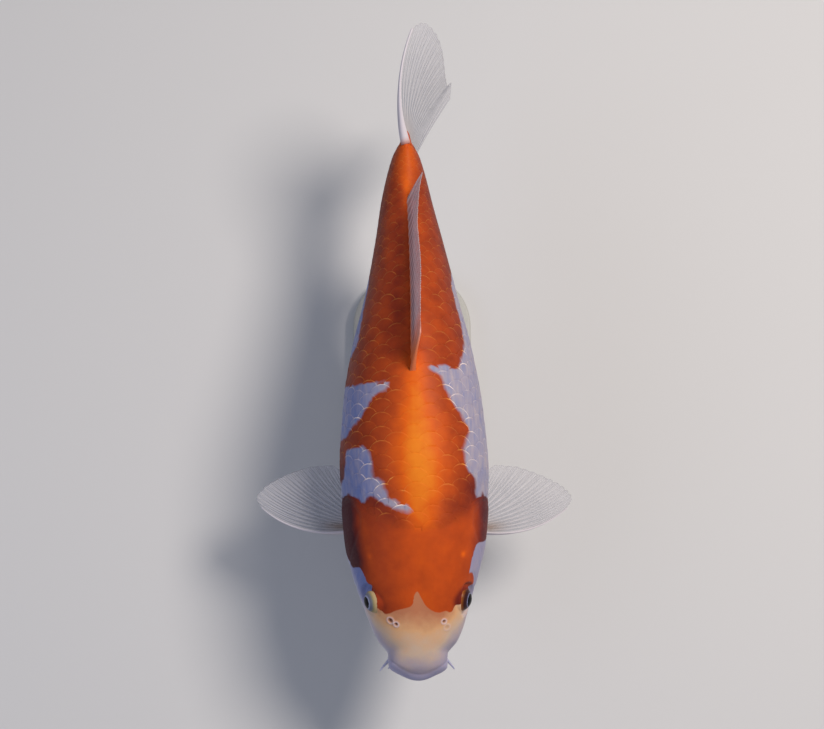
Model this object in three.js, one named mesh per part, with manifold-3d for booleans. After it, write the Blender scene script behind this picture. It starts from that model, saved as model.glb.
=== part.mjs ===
// A koi carp, life size, on a plain display stand. Millimetres, +Z up.
// The fish swims level with its nose towards -Y and its left side towards +X. The origin is the middle of the
// underside of the stand's base.
import * as THREE from "three";
import { mergeVertices } from "three/addons/utils/BufferGeometryUtils.js";
import Module from "manifold-3d";

const wasm = await Module();
wasm.setup();

// ---------------------------------------------------------------- driving dimensions

const STANDARD_LENGTH = 360; // upper lip to the end of the tail stalk
const SNOUT_Y = -188; // the lip's front, so that the fish balances over the base
const SPINE_HEIGHT = 125; // the body's middle line above the floor
const GAP = 0.35; // the thin cut between neighbouring pieces
const RING_SIDES = 32; // facets round the body
const RING_STEPS = 37; // rings along it
const HEAD_ROLL = THREE.MathUtils.degToRad(5); // the head leans a little to its left

// ---------------------------------------------------------------- body form

// Cross sections from the lip to the tail base. at: distance behind the lip. half: half width. back and belly:
// upper and lower outline from the middle line. wide: level of the widest point. round: exponents of the
// superellipse above and below that level, where 2 is an ellipse and more is squarer.
const SECTIONS = [
  { name: "lip", at: 0, half: 0, back: -11.5, belly: -11.5, wide: -11.5, round: [2, 2] },
  { name: "lip front", at: 3.5, half: 10.8, back: -4.5, belly: -18.5, wide: -11.5, round: [2.1, 2.1] },
  { name: "full lip", at: 10, half: 18.6, back: 2.5, belly: -23, wide: -11, round: [2.2, 2.2] },
  { name: "mouth corner", at: 17.5, half: 19.1, back: 8.3, belly: -26, wide: -10.5, round: [2.3, 2.2] },
  { name: "muzzle", at: 26, half: 25.4, back: 14.2, belly: -29.5, wide: -9, round: [2.3, 2.2] },
  { name: "nostrils", at: 34, half: 29.2, back: 19.3, belly: -32.5, wide: -7.5, round: [2.4, 2.2] },
  { name: "eyes", at: 49, half: 34.2, back: 28, belly: -37.5, wide: -5, round: [2.5, 2.2] },
  { name: "cheeks", at: 66, half: 40, back: 35.8, belly: -42, wide: -5, round: [2.45, 2.2] },
  { name: "nape", at: 88, half: 45, back: 44, belly: -47.5, wide: -4, round: [2.3, 2.2] },
  { name: "gill edge", at: 114, half: 47.4, back: 50.8, belly: -52, wide: -2, round: [2.15, 2.15] },
  { name: "shoulder", at: 135, half: 48.6, back: 54.8, belly: -54.8, wide: 0, round: [2.1, 2.15] },
  { name: "dorsal start", at: 178, half: 45.8, back: 57.5, belly: -56.5, wide: 0, round: [2.05, 2.15] },
  { name: "mid trunk", at: 215, half: 39.8, back: 53.5, belly: -52.5, wide: 1, round: [2, 2.1] },
  { name: "vent", at: 252, half: 30.8, back: 44, belly: -44, wide: 1, round: [2, 2.1] },
  { name: "anal end", at: 290, half: 22.8, back: 32, belly: -31, wide: 1, round: [2, 2.1] },
  { name: "tail stalk", at: 330, half: 14.8, back: 23, belly: -22.5, wide: 0, round: [2, 2] },
  { name: "stalk end", at: 348, half: 10, back: 23.2, belly: -23, wide: 0, round: [2, 2] },
  { name: "tail base", at: STANDARD_LENGTH, half: 5.2, back: 25, belly: -24.5, wide: 0, round: [2, 2] },
];

// The middle line's sideways drift, to the left as plus: the body bows very slightly.
const SPINE_DRIFT = [
  [0, 5],
  [30, 4.2],
  [60, 2.4],
  [110, 2],
  [150, 1.1],
  [200, 0.1],
  [256, -0.6],
  [290, -1.9],
  [322, -3.7],
  [STANDARD_LENGTH, -4.2],
];

// A smooth curve through [where, value] pairs that doesn't overshoot between them.
function smoothThrough(pairs) {
  const n = pairs.length;
  const slope = (i) => (pairs[i + 1][1] - pairs[i][1]) / (pairs[i + 1][0] - pairs[i][0]);
  const tangent = pairs.map((_, i) => {
    if (i === 0) return slope(0);
    if (i === n - 1) return slope(n - 2);
    const before = slope(i - 1);
    const after = slope(i);
    return before * after <= 0 ? 0 : (2 * before * after) / (before + after);
  });
  return (x) => {
    let i = 0;
    while (i < n - 2 && x > pairs[i + 1][0]) i += 1;
    const width = pairs[i + 1][0] - pairs[i][0];
    const t = THREE.MathUtils.clamp((x - pairs[i][0]) / width, 0, 1);
    const a = pairs[i][1];
    const b = pairs[i + 1][1];
    return (
      a * (1 + 2 * t) * (1 - t) ** 2 +
      tangent[i] * width * t * (1 - t) ** 2 +
      b * t * t * (3 - 2 * t) +
      tangent[i + 1] * width * t * t * (t - 1)
    );
  };
}

// Profiles run over the square root of the distance, which rounds the nose off.
const profile = (pick) => {
  const curve = smoothThrough(SECTIONS.map((s) => [Math.sqrt(s.at), pick(s)]));
  return (at) => curve(Math.sqrt(Math.max(at, 0)));
};
const halfWidth = profile((s) => s.half);
const backLine = profile((s) => s.back);
const bellyLine = profile((s) => s.belly);
const widestLevel = profile((s) => s.wide);
const roundAbove = profile((s) => s.round[0]);
const roundBelow = profile((s) => s.round[1]);
const drift = smoothThrough(SPINE_DRIFT);
const roll = (at) => HEAD_ROLL * (1 - THREE.MathUtils.smoothstep(at, 20, 150));

// Fish coordinates (behind the lip, to the left, above the middle line) to the part's frame.
function place(at, left, up) {
  const turn = roll(at);
  return new THREE.Vector3(
    drift(at) + left * Math.cos(turn) + up * Math.sin(turn),
    SNOUT_Y + at,
    SPINE_HEIGHT + up * Math.cos(turn) - left * Math.sin(turn),
  );
}

// The outline of the cross section, grown outwards by grow. angle: 0 at the back, a quarter turn at the left.
function sectionPoint(at, angle, grow) {
  const c = Math.cos(angle);
  const s = Math.sin(angle);
  const exponent = 2 / (c >= 0 ? roundAbove(at) : roundBelow(at));
  const wide = widestLevel(at);
  const reach = (c >= 0 ? backLine(at) : bellyLine(at)) - wide;
  const side = halfWidth(at) + grow;
  return place(
    at,
    Math.sign(s) * side * Math.abs(s) ** exponent,
    wide + (reach + Math.sign(reach) * grow) * Math.abs(c) ** exponent,
  );
}

// ---------------------------------------------------------------- solids

const MERGE_MM = 1e-4;

// A closed geometry as a solid for cutting and joining.
function solidOf(geometry) {
  const plain = geometry.index ? geometry.toNonIndexed() : geometry.clone();
  plain.deleteAttribute("normal");
  plain.deleteAttribute("uv");
  const merged = mergeVertices(plain, MERGE_MM);
  return new wasm.Manifold(
    new wasm.Mesh({
      numProp: 3,
      vertProperties: new Float32Array(merged.attributes.position.array),
      triVerts: new Uint32Array(merged.index.array),
    }),
  );
}

function geometryOf(solid) {
  const mesh = solid.getMesh();
  const geometry = new THREE.BufferGeometry();
  geometry.setAttribute("position", new THREE.BufferAttribute(mesh.vertProperties, 3));
  geometry.setIndex(new THREE.BufferAttribute(mesh.triVerts, 1));
  geometry.computeVertexNormals();
  return geometry;
}

// A closed skin over rows of points: each row is a closed ring, and both ends are capped by a fan.
function loft(rings) {
  const sides = rings[0].length;
  const points = rings.flat();
  const index = [];
  rings.slice(1).forEach((_, row) => {
    for (let i = 0; i < sides; i += 1) {
      const next = (i + 1) % sides;
      const [a, b] = [row * sides + i, row * sides + next];
      index.push(a, b, b + sides, a, b + sides, a + sides);
    }
  });
  [0, rings.length - 1].forEach((row, end) => {
    const middle = rings[row].reduce((sum, p) => sum.add(p), new THREE.Vector3()).divideScalar(sides);
    points.push(middle);
    for (let i = 0; i < sides; i += 1) {
      const pair = [row * sides + i, row * sides + ((i + 1) % sides)];
      index.push(points.length - 1, pair[1 - end], pair[end]);
    }
  });
  const geometry = new THREE.BufferGeometry().setFromPoints(points);
  geometry.setIndex(index);
  return solidOf(geometry);
}

// Where the body's rings lie: close together on the head, wider apart along the trunk.
function ringPlaces() {
  const nose = 0.15;
  const spread = 1.5;
  return Array.from(
    { length: RING_STEPS + 1 },
    (_, i) => nose + (STANDARD_LENGTH - nose) * (i / RING_STEPS) ** spread,
  );
}

function bodySolid(grow = 0) {
  const rings = ringPlaces().map((at) =>
    Array.from({ length: RING_SIDES }, (_, i) => sectionPoint(at, (i / RING_SIDES) * 2 * Math.PI, grow)),
  );
  return loft(rings);
}

// A prism through the whole fish from side to side, from an outline of [behind the lip, above the middle line].
function sideCutter(outline, from = -100, to = 100) {
  const shape = new THREE.Shape(outline.map(([at, up]) => new THREE.Vector2(at, up)));
  const geometry = new THREE.ExtrudeGeometry(shape, { depth: to - from, bevelEnabled: false, steps: 1 });
  const turned = new THREE.Matrix4().set(0, 0, 1, from, 1, 0, 0, SNOUT_Y, 0, 1, 0, SPINE_HEIGHT, 0, 0, 0, 1);
  return solidOf(geometry.applyMatrix4(turned));
}

const FAR = 90; // beyond the fish above and below
const slab = (from, to, right, left) =>
  sideCutter(
    [
      [from, -FAR],
      [to, -FAR],
      [to, FAR],
      [from, FAR],
    ],
    right,
    left,
  );

function ball(centre, radius, rings = 8) {
  const geometry = new THREE.SphereGeometry(radius, rings * 2, rings);
  return solidOf(geometry.translate(centre.x, centre.y, centre.z));
}

// ---------------------------------------------------------------- head

// The head's hind edge in side view, from the nape over the gill opening to the throat.
const HEAD_EDGE = new THREE.SplineCurve([
  new THREE.Vector2(68, 60),
  new THREE.Vector2(80, 41),
  new THREE.Vector2(105, 20),
  new THREE.Vector2(114, -4),
  new THREE.Vector2(106, -28),
  new THREE.Vector2(84, -44),
  new THREE.Vector2(68, -66),
]);
const HEAD_EDGE_SLANT = 1.4; // the edge leans, so a gap across it takes a longer step along the fish
const headCutter = (gap) =>
  sideCutter([
    [-20, -FAR],
    ...HEAD_EDGE.getPoints(22)
      .reverse()
      .map((p) => [p.x + gap * HEAD_EDGE_SLANT, p.y]),
    [-20, FAR],
  ]);

// The gill cover's plate in side view: its hind edge follows the head's.
const COVER_MIDDLE = [92, -7];
const COVER_EDGE = new THREE.SplineCurve(
  [
    [98, 24],
    [107, 15],
    [116, -4],
    [108, -27],
    [91, -38.5],
    [78, -27],
    [72.5, -9],
    [77, 9],
    [87, 21],
    [98, 24],
  ].map(([at, up]) => new THREE.Vector2(at, up)),
);
const COVER_THICKNESS = 4;
const coverCutter = (grow) =>
  sideCutter(
    COVER_EDGE.getPoints(34)
      .slice(0, -1)
      .map((p) => {
        const out = new THREE.Vector2(p.x - COVER_MIDDLE[0], p.y - COVER_MIDDLE[1]);
        const length = out.length();
        out.multiplyScalar((length + grow) / length);
        return [COVER_MIDDLE[0] + out.x, COVER_MIDDLE[1] + out.y];
      })
      .reverse(),
  );
const coverSide = (side) =>
  side > 0 ? slab(0, STANDARD_LENGTH, 15, 100) : slab(0, STANDARD_LENGTH, -100, -15);

// The mouth runs back and down from the front of the lips to its corner.
const MOUTH_END = 18.5;
const mouthLevel = (at) => -12 - 0.32 * at;
const LIP_SLANT = 6; // how much further forward the upper lip ends on top of the muzzle
const lipCutter = (above, gap) => {
  const ahead = -20;
  const end = MOUTH_END - gap;
  const outline = above
    ? [
        [ahead, mouthLevel(ahead) + gap],
        [end, mouthLevel(MOUTH_END) + gap],
        [end - LIP_SLANT, FAR],
        [ahead, FAR],
      ]
    : [
        [ahead, -FAR],
        [end, -FAR],
        [end, mouthLevel(MOUTH_END) - gap],
        [ahead, mouthLevel(ahead) - gap],
      ];
  return sideCutter(outline);
};

// Eyes and feelers on the left sit a little further back than those on the right, because the head turns.
const HEAD_TURN = 0.035;
const onHead = (at, out, up, side) => place(at + HEAD_TURN * side * out, side * out, up);
const EYE_RADIUS = 8.6;
const EYE = { at: 49.5, out: 25.7, up: 12.5 };
const eyeCentre = (side) => onHead(EYE.at, EYE.out, EYE.up, side);

// A feeler: a round tapering stem along a quadratic curve.
function barbel({ root, bend, tip, radius, tipRadius }, side) {
  const [a, b, c] = [root, bend, tip].map(([at, out, up]) => onHead(at, out, up, side));
  const path = new THREE.QuadraticBezierCurve3(a, b, c);
  const steps = 5;
  const sides = 8;
  const frames = path.computeFrenetFrames(steps, false);
  const rings = Array.from({ length: steps + 1 }, (_, row) => {
    const centre = path.getPointAt(row / steps);
    const r = THREE.MathUtils.lerp(radius, tipRadius, row / steps);
    return Array.from({ length: sides }, (_, i) => {
      const turn = (i / sides) * 2 * Math.PI;
      return centre
        .clone()
        .addScaledVector(frames.normals[row], r * Math.cos(turn))
        .addScaledVector(frames.binormals[row], r * Math.sin(turn));
    });
  });
  const made = loft(rings);
  return made.volume() > 0 ? made : loft(rings.map((ring) => ring.slice().reverse()));
}
const CORNER_BARBEL = {
  root: [16, 16.8, -12.5],
  bend: [12.5, 20.6, -14],
  tip: [8.2, 24.2, -17],
  radius: 1.15,
  tipRadius: 0.4,
};
const LIP_BARBEL = {
  root: [11.5, 14.5, -7],
  bend: [10.6, 18.6, -9],
  tip: [9, 18.8, -13.5],
  radius: 0.8,
  tipRadius: 0.35,
};

// ---------------------------------------------------------------- fins

// A fin is a fan of rays, each a quadratic curve in fish coordinates. root(u) and tip(u) give a ray's ends, u
// running from the leading ray to the last, and sweep(u) moves its control point off the middle between them.
function finPoint(fin, u, v) {
  const root = fin.root(u);
  const tip = fin.tip(u);
  const sweep = fin.sweep(u);
  const mid = root.map((r, i) => (r + tip[i]) / 2 + sweep[i]);
  const p = root.map((r, i) => r * (1 - v) ** 2 + 2 * mid[i] * v * (1 - v) + tip[i] * v * v);
  return place(...p);
}

// The fin as a plate that thins from its root to its margin.
function finSolid(fin, across, along) {
  const step = 1e-3;
  const faces = [1, -1].map((side) =>
    Array.from({ length: across + 1 }, (_, i) =>
      Array.from({ length: along + 1 }, (_, j) => {
        const u = i / across;
        const v = j / along;
        const p = finPoint(fin, u, v);
        const du = finPoint(fin, Math.min(u + step, 1), v).sub(finPoint(fin, Math.max(u - step, 0), v));
        const dv = finPoint(fin, u, Math.min(v + step, 1)).sub(finPoint(fin, u, Math.max(v - step, 0)));
        const normal = du.cross(dv).normalize();
        const thickness = THREE.MathUtils.lerp(fin.rootThickness, fin.edgeThickness, v ** 0.6);
        return p.addScaledVector(normal, (side * thickness) / 2);
      }),
    ),
  );
  const points = faces.flat(2);
  const at = (face, i, j) => (face * (across + 1) + i) * (along + 1) + j;
  const index = [];
  const quad = (a, b, c, d) => index.push(a, b, c, a, c, d);
  for (let i = 0; i < across; i += 1) {
    for (let j = 0; j < along; j += 1) {
      quad(at(0, i, j), at(0, i + 1, j), at(0, i + 1, j + 1), at(0, i, j + 1));
      quad(at(1, i, j), at(1, i, j + 1), at(1, i + 1, j + 1), at(1, i + 1, j));
    }
    quad(at(0, i, 0), at(1, i, 0), at(1, i + 1, 0), at(0, i + 1, 0));
    quad(at(0, i, along), at(0, i + 1, along), at(1, i + 1, along), at(1, i, along));
  }
  for (let j = 0; j < along; j += 1) {
    quad(at(0, 0, j), at(0, 0, j + 1), at(1, 0, j + 1), at(1, 0, j));
    quad(at(0, across, j), at(1, across, j), at(1, across, j + 1), at(0, across, j + 1));
  }
  const geometry = new THREE.BufferGeometry().setFromPoints(points);
  geometry.setIndex(index);
  const made = solidOf(geometry);
  if (made.volume() > 0) return made;
  geometry.setIndex(index.reverse());
  return solidOf(geometry);
}

// A smooth line through evenly spaced points of fish coordinates.
function marginThrough(points) {
  const axes = [0, 1, 2].map((axis) => smoothThrough(points.map((p, i) => [i / (points.length - 1), p[axis]])));
  return (u) => axes.map((f) => f(u));
}

// Dorsal fin: half folded, leaning to the fish's left, most at its hind end.
const DORSAL = { from: 186, to: 311, sunk: 2.5 };
const dorsalLength = smoothThrough([[0, 33], [0.1, 40], [0.35, 33], [0.7, 25], [1, 20]]);
const dorsalRise = smoothThrough([[0, 0.95], [0.4, 0.72], [1, 0.52]]); // radians above the back
const dorsalLean = smoothThrough([[0, 5.5], [0.3, 6], [0.6, 5], [0.85, 8], [1, 11]]);
const dorsalAt = (u) => THREE.MathUtils.lerp(DORSAL.from, DORSAL.to, u);
const dorsalFin = {
  root: (u) => [dorsalAt(u), 0, backLine(dorsalAt(u)) - DORSAL.sunk],
  tip: (u) => [
    dorsalAt(u) + dorsalLength(u) * Math.cos(dorsalRise(u)),
    dorsalLean(u),
    backLine(dorsalAt(u)) - DORSAL.sunk + dorsalLength(u) * Math.sin(dorsalRise(u)),
  ],
  sweep: (u) => [-1.5, -0.2 * dorsalLean(u), 1.5],
  rootThickness: 2.6,
  edgeThickness: 0.8,
};

// Tail fin: forked. Its upper lobe stands nearly straight behind the fish, and the rest sweeps to the left.
const TAIL = { rootAt: 352, rootHeight: 23, rootBulge: 4 };
const tailMargin = marginThrough([
  [423, 4, 50],
  [428, 12, 48.5],
  [423.5, 20.5, 40],
  [415, 25, 25],
  [408, 26.5, 8],
  [407, 28, -7],
  [413, 30, -22],
  [419.5, 32, -36],
  [411, 31, -44],
]);
const tailFin = {
  root: (u) => [
    TAIL.rootAt + TAIL.rootBulge * Math.sin(Math.PI * u),
    0,
    TAIL.rootHeight * (1 - 2 * u),
  ],
  tip: tailMargin,
  sweep: (u) => [0, 11 * u - 12.5, 5.5 * (1 - 2 * u)],
  rootThickness: 5,
  edgeThickness: 0.8,
};

// Anal fin: short and swept back under the tail stalk.
const ANAL = { from: 272, to: 299, sunk: 2.5 };
const analLength = smoothThrough([[0, 38], [0.15, 43], [0.5, 34], [1, 22]]);
const analAt = (u) => THREE.MathUtils.lerp(ANAL.from, ANAL.to, u);
const analFin = {
  root: (u) => [analAt(u), 0, bellyLine(analAt(u)) + ANAL.sunk],
  tip: (u) => {
    const slope = THREE.MathUtils.lerp(0.82, 0.5, u);
    return [
      analAt(u) + analLength(u) * Math.cos(slope),
      4 + 2 * u,
      bellyLine(analAt(u)) + ANAL.sunk - analLength(u) * Math.sin(slope),
    ];
  },
  sweep: () => [-1.5, 0, -1.5],
  rootThickness: 2.6,
  edgeThickness: 0.8,
};

// Pectoral fins: spread level from low on the shoulder, the leading ray nearly square to the body.
const pectoralMargin = marginThrough([
  [118.5, 101.5, -40.5],
  [125.5, 105, -41.5],
  [132, 101, -42],
  [138, 92, -42],
  [143.5, 79.5, -42],
  [147, 67, -41.5],
  [147.5, 55.5, -40],
  [140.5, 45, -37],
]);
const pectoralFin = (side) => ({
  root: (u) => [101.5 + 10.5 * u, side * (33.5 + 1.5 * u), -29.5 - 5.5 * u],
  tip: (u) => {
    const [at, out, up] = pectoralMargin(u);
    return [at, side * out, up];
  },
  sweep: (u) => [-1 - 15.5 * (1 - u) ** 1.5, side * 8.5 * (1 - u) ** 1.5, 2.2],
  rootThickness: 4.4,
  edgeThickness: 0.8,
});

// Pelvic fins: held back and down beneath the belly.
const pelvicMargin = marginThrough([
  [218, 31, -70],
  [226, 30, -69.5],
  [226, 24, -67],
  [221, 16.5, -64],
  [213, 10.5, -60.5],
]);
const pelvicFin = (side) => ({
  root: (u) => [178 + 6.5 * u, side * (17.5 - 6.5 * u), -50.5 - 1.5 * u],
  tip: (u) => {
    const [at, out, up] = pelvicMargin(u);
    return [at, side * out, up];
  },
  sweep: (u) => [-3 * (1 - u), side * 3.5 * (1 - u), 0.5],
  rootThickness: 4,
  edgeThickness: 0.8,
});

// ---------------------------------------------------------------- stand

const BASE = { length: 240, width: 84, height: 10, bevel: 1.5 };
const ROD = {
  radius: 4,
  sides: 16,
  intoBody: 9,
  tenon: 5,
  tenonRadius: 3,
  flange: 9,
  flangeHeight: 3,
  chamfer: 1,
};
const ROD_PLACES = { front: 128, rear: 214 }; // behind the lip

function baseSolid() {
  const end = BASE.width / 2 - BASE.bevel;
  const straight = BASE.length / 2 - BASE.width / 2;
  const outline = new THREE.Shape();
  outline.absarc(0, straight, end, 0, Math.PI, false);
  outline.absarc(0, -straight, end, Math.PI, 2 * Math.PI, false);
  outline.closePath();
  const plate = new THREE.ExtrudeGeometry(outline, {
    depth: BASE.height - 2 * BASE.bevel,
    bevelEnabled: true,
    bevelThickness: BASE.bevel,
    bevelSize: BASE.bevel,
    bevelSegments: 1,
    curveSegments: 10,
  });
  return solidOf(plate.translate(0, 0, BASE.bevel));
}

// A turned rod: a tenon in the base, a flange on it and a round stem into the belly.
function rodSolid(at) {
  const top = SPINE_HEIGHT + bellyLine(at) + ROD.intoBody;
  const foot = BASE.height + GAP;
  const outline = [
    [0, BASE.height - ROD.tenon],
    [ROD.tenonRadius, BASE.height - ROD.tenon],
    [ROD.tenonRadius, foot],
    [ROD.flange, foot],
    [ROD.flange, foot + ROD.flangeHeight - ROD.chamfer],
    [ROD.flange - ROD.chamfer, foot + ROD.flangeHeight],
    [ROD.radius, foot + ROD.flangeHeight],
    [ROD.radius, top - ROD.chamfer],
    [ROD.radius - ROD.chamfer, top],
    [0, top],
  ].map(([r, z]) => new THREE.Vector2(r, z));
  const geometry = new THREE.LatheGeometry(outline, ROD.sides).rotateX(Math.PI / 2);
  return solidOf(geometry.translate(drift(at), SNOUT_Y + at, 0));
}

// A plain cylinder that clears the rod where it enters the base or the belly.
function rodBore(at, radius, from, to) {
  const geometry = new THREE.CylinderGeometry(radius, radius, to - from, ROD.sides).rotateX(Math.PI / 2);
  return solidOf(geometry.translate(drift(at), SNOUT_Y + at, (from + to) / 2));
}

// ---------------------------------------------------------------- assembly

const TRUNK_CUTS = [190, 268]; // behind the lip: front trunk, rear trunk, tail stalk

const koi = new THREE.Group();
koi.name = "koi_carp";

const MATERIALS = {
  red_skin: { color: "#c8481a", roughness: 0.34, metalness: 0 },
  lip: { color: "#e0c6b4", roughness: 0.36, metalness: 0 },
  fin: { color: "#dfe3ea", roughness: 0.4, metalness: 0 },
  eye: { color: "#14110f", roughness: 0.06, metalness: 0 },
  painted_steel: { color: "#c4c4c0", roughness: 0.5, metalness: 0 },
  rod_steel: { color: "#a9abad", roughness: 0.3, metalness: 1 },
};

function add(name, solid, material) {
  const pieces = solid.decompose().sort((a, b) => b.volume() - a.volume());
  const mesh = new THREE.Mesh(geometryOf(pieces[0]), new THREE.MeshStandardMaterial(MATERIALS[material]));
  mesh.name = name;
  koi.add(mesh);
}

const body = bodySolid();
const core = bodySolid(-COVER_THICKNESS);
const coreWithGap = bodySolid(-COVER_THICKNESS - GAP);
const clearance = bodySolid(GAP);

function addHead() {
  let head = body.intersect(headCutter(0));
  const covers = coverCutter(-GAP / 2).intersect(head).subtract(core);
  const coverRoom = coverCutter(GAP / 2).subtract(coreWithGap);
  add("upper_lip", head.intersect(lipCutter(true, GAP / 2)), "lip");
  add("lower_lip", head.intersect(lipCutter(false, GAP / 2)), "lip");
  head = head.subtract(lipCutter(true, -GAP / 2)).subtract(lipCutter(false, -GAP / 2));
  [1, -1].forEach((side) => {
    const name = side > 0 ? "left" : "right";
    add(`gill_cover_${name}`, covers.intersect(coverSide(side)), "red_skin");
    head = head.subtract(coverRoom.intersect(coverSide(side)));
    head = head.subtract(ball(eyeCentre(side), EYE_RADIUS + GAP));
    add(`eye_${name}`, ball(eyeCentre(side), EYE_RADIUS), "eye");
    add(`barbel_corner_${name}`, barbel(CORNER_BARBEL, side).subtract(clearance), "lip");
    add(`barbel_lip_${name}`, barbel(LIP_BARBEL, side).subtract(clearance), "lip");
  });
  add("head", head, "red_skin");
}

function addTrunk() {
  const [first, second] = TRUNK_CUTS;
  const bore = (at) => rodBore(at, ROD.radius + GAP, 0, SPINE_HEIGHT + bellyLine(at) + ROD.intoBody + GAP);
  const behindHead = body.subtract(headCutter(GAP));
  add("trunk_front", behindHead.intersect(slab(0, first)).subtract(bore(ROD_PLACES.front)), "red_skin");
  add("trunk_rear", body.intersect(slab(first + GAP, second)).subtract(bore(ROD_PLACES.rear)), "red_skin");
  add("tail_stalk", body.intersect(slab(second + GAP, STANDARD_LENGTH + 1)), "red_skin");
}

function addFins() {
  const beyond = (fin, across, along) => finSolid(fin, across, along).subtract(clearance);
  add("dorsal_fin", beyond(dorsalFin, 15, 4), "fin");
  add("tail_fin", beyond(tailFin, 16, 6), "fin");
  add("anal_fin", beyond(analFin, 7, 4), "fin");
  [1, -1].forEach((side) => {
    const name = side > 0 ? "left" : "right";
    add(`pectoral_fin_${name}`, beyond(pectoralFin(side), 10, 6), "fin");
    add(`pelvic_fin_${name}`, beyond(pelvicFin(side), 7, 4), "fin");
  });
}

function addStand() {
  const sockets = Object.values(ROD_PLACES).map((at) =>
    rodBore(at, ROD.tenonRadius + GAP, BASE.height - ROD.tenon - GAP, BASE.height + 1),
  );
  add("stand_base", sockets.reduce((base, hole) => base.subtract(hole), baseSolid()), "painted_steel");
  Object.entries(ROD_PLACES).forEach(([name, at]) => add(`stand_rod_${name}`, rodSolid(at), "rod_steel"));
}

addHead();
addTrunk();
addFins();
addStand();

export default koi;
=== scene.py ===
import math

import bpy
import numpy as np
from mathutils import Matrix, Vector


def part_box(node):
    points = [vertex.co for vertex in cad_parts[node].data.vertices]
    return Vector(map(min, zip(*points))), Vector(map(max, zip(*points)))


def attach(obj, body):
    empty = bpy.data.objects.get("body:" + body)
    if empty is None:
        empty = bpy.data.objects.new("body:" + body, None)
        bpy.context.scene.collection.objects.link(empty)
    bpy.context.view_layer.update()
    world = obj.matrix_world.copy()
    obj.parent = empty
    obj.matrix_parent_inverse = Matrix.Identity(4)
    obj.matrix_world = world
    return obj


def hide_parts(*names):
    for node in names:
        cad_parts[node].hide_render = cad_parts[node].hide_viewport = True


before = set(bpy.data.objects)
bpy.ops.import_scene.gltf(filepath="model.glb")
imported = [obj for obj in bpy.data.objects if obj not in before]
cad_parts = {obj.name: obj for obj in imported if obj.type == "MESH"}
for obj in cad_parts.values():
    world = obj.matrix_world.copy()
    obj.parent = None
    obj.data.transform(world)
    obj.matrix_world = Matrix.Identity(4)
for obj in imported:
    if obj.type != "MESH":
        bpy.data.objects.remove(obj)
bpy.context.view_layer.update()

MM = 0.001

# ---------------------------------------------------------------- skin
# The whole body from the lips to the tail stalk under one skin, as on the live fish: bare and folded on the
# head, and sunk behind the gill openings by the depth of the scales that lie on it. It is one closed loft.

# Cross sections of the body: how far behind the lip, half width, back line, belly line, level of the widest
# point, and how round it is above and below that level (2 is an ellipse).
SECTIONS = [
    (0, 0, -11.5, -11.5, -11.5, 2, 2),  # lip
    (3.5, 10.8, -4.5, -18.5, -11.5, 2.1, 2.1),  # lip front
    (10, 18.6, 2.5, -23, -11, 2.2, 2.2),  # full lip
    (17.5, 19.1, 8.3, -26, -10.5, 2.3, 2.2),  # mouth corner
    (26, 25.4, 14.2, -29.5, -9, 2.3, 2.2),  # muzzle
    (34, 29.2, 19.3, -32.5, -7.5, 2.4, 2.2),  # nostrils
    (49, 34.2, 28, -37.5, -5, 2.5, 2.2),  # eyes
    (66, 40, 35.8, -42, -5, 2.45, 2.2),  # cheeks
    (88, 45, 44, -47.5, -4, 2.3, 2.2),  # nape
    (114, 47.4, 50.8, -52, -2, 2.15, 2.15),  # gill edge
    (135, 48.6, 54.8, -54.8, 0, 2.1, 2.15),  # shoulder
    (178, 45.8, 57.5, -56.5, 0, 2.05, 2.15),  # dorsal start
    (215, 39.8, 53.5, -52.5, 1, 2, 2.1),  # mid trunk
    (252, 30.8, 44, -44, 1, 2, 2.1),  # vent
    (290, 22.8, 32, -31, 1, 2, 2.1),  # anal end
    (330, 14.8, 23, -22.5, 0, 2, 2),  # tail stalk
    (348, 10, 23.2, -23, 0, 2, 2),  # stalk end
    (360, 5.2, 25, -24.5, 0, 2, 2),  # tail base
]
BACK_TOP = max(section[2] for section in SECTIONS)
STANDARD_LENGTH = SECTIONS[-1][0]
SNOUT_Y = round(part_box("upper_lip")[0].y / MM)
SPINE_HEIGHT = round(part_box("trunk_front")[1].z / MM - BACK_TOP)
# How far the middle line lies to the left of the frame's middle: the body bends a little as it swims.
SPINE_DRIFT = [
    (0, 5), (30, 4.2), (60, 2.4), (110, 2), (150, 1.1), (200, 0.1), (256, -0.6), (290, -1.9),
    (322, -3.7), (360, -4.2),
]
HEAD_ROLL = math.radians(5)  # the head leans a little to its left, and the trunk behind it stands upright


def smooth_through(pairs):
    """A smooth curve through (where, value) pairs that doesn't overshoot between them."""
    where, value = np.array(pairs, float).T
    rise = np.diff(value) / np.diff(where)
    before, after = rise[:-1], rise[1:]
    level = before * after <= 0
    inner = np.where(level, 0, 2 * before * after / np.where(level, 1, before + after))
    tangent = np.concatenate([rise[:1], inner, rise[-1:]])

    def curve(x):
        x = np.asarray(x, float)
        i = np.clip(np.searchsorted(where, x) - 1, 0, len(where) - 2)
        width = where[i + 1] - where[i]
        t = np.clip((x - where[i]) / width, 0, 1)
        ends = value[i] * (1 + 2 * t) * (1 - t) ** 2 + value[i + 1] * t * t * (3 - 2 * t)
        return ends + width * (tangent[i] * t * (1 - t) ** 2 + tangent[i + 1] * t * t * (t - 1))

    return curve


def profile(column):
    """One column of SECTIONS as a curve over the root of the distance, which rounds the nose off."""
    curve = smooth_through([(math.sqrt(section[0]), section[column]) for section in SECTIONS])
    return lambda at: curve(np.sqrt(np.maximum(at, 0)))


half_width, back_line, belly_line, widest_level, round_above, round_below = map(profile, range(1, 7))
drift = smooth_through(SPINE_DRIFT)


def step(x, low, high):
    """0 up to low, 1 from high, smooth between."""
    t = np.clip((x - low) / (high - low), 0, 1)
    return t * t * (3 - 2 * t)


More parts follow.
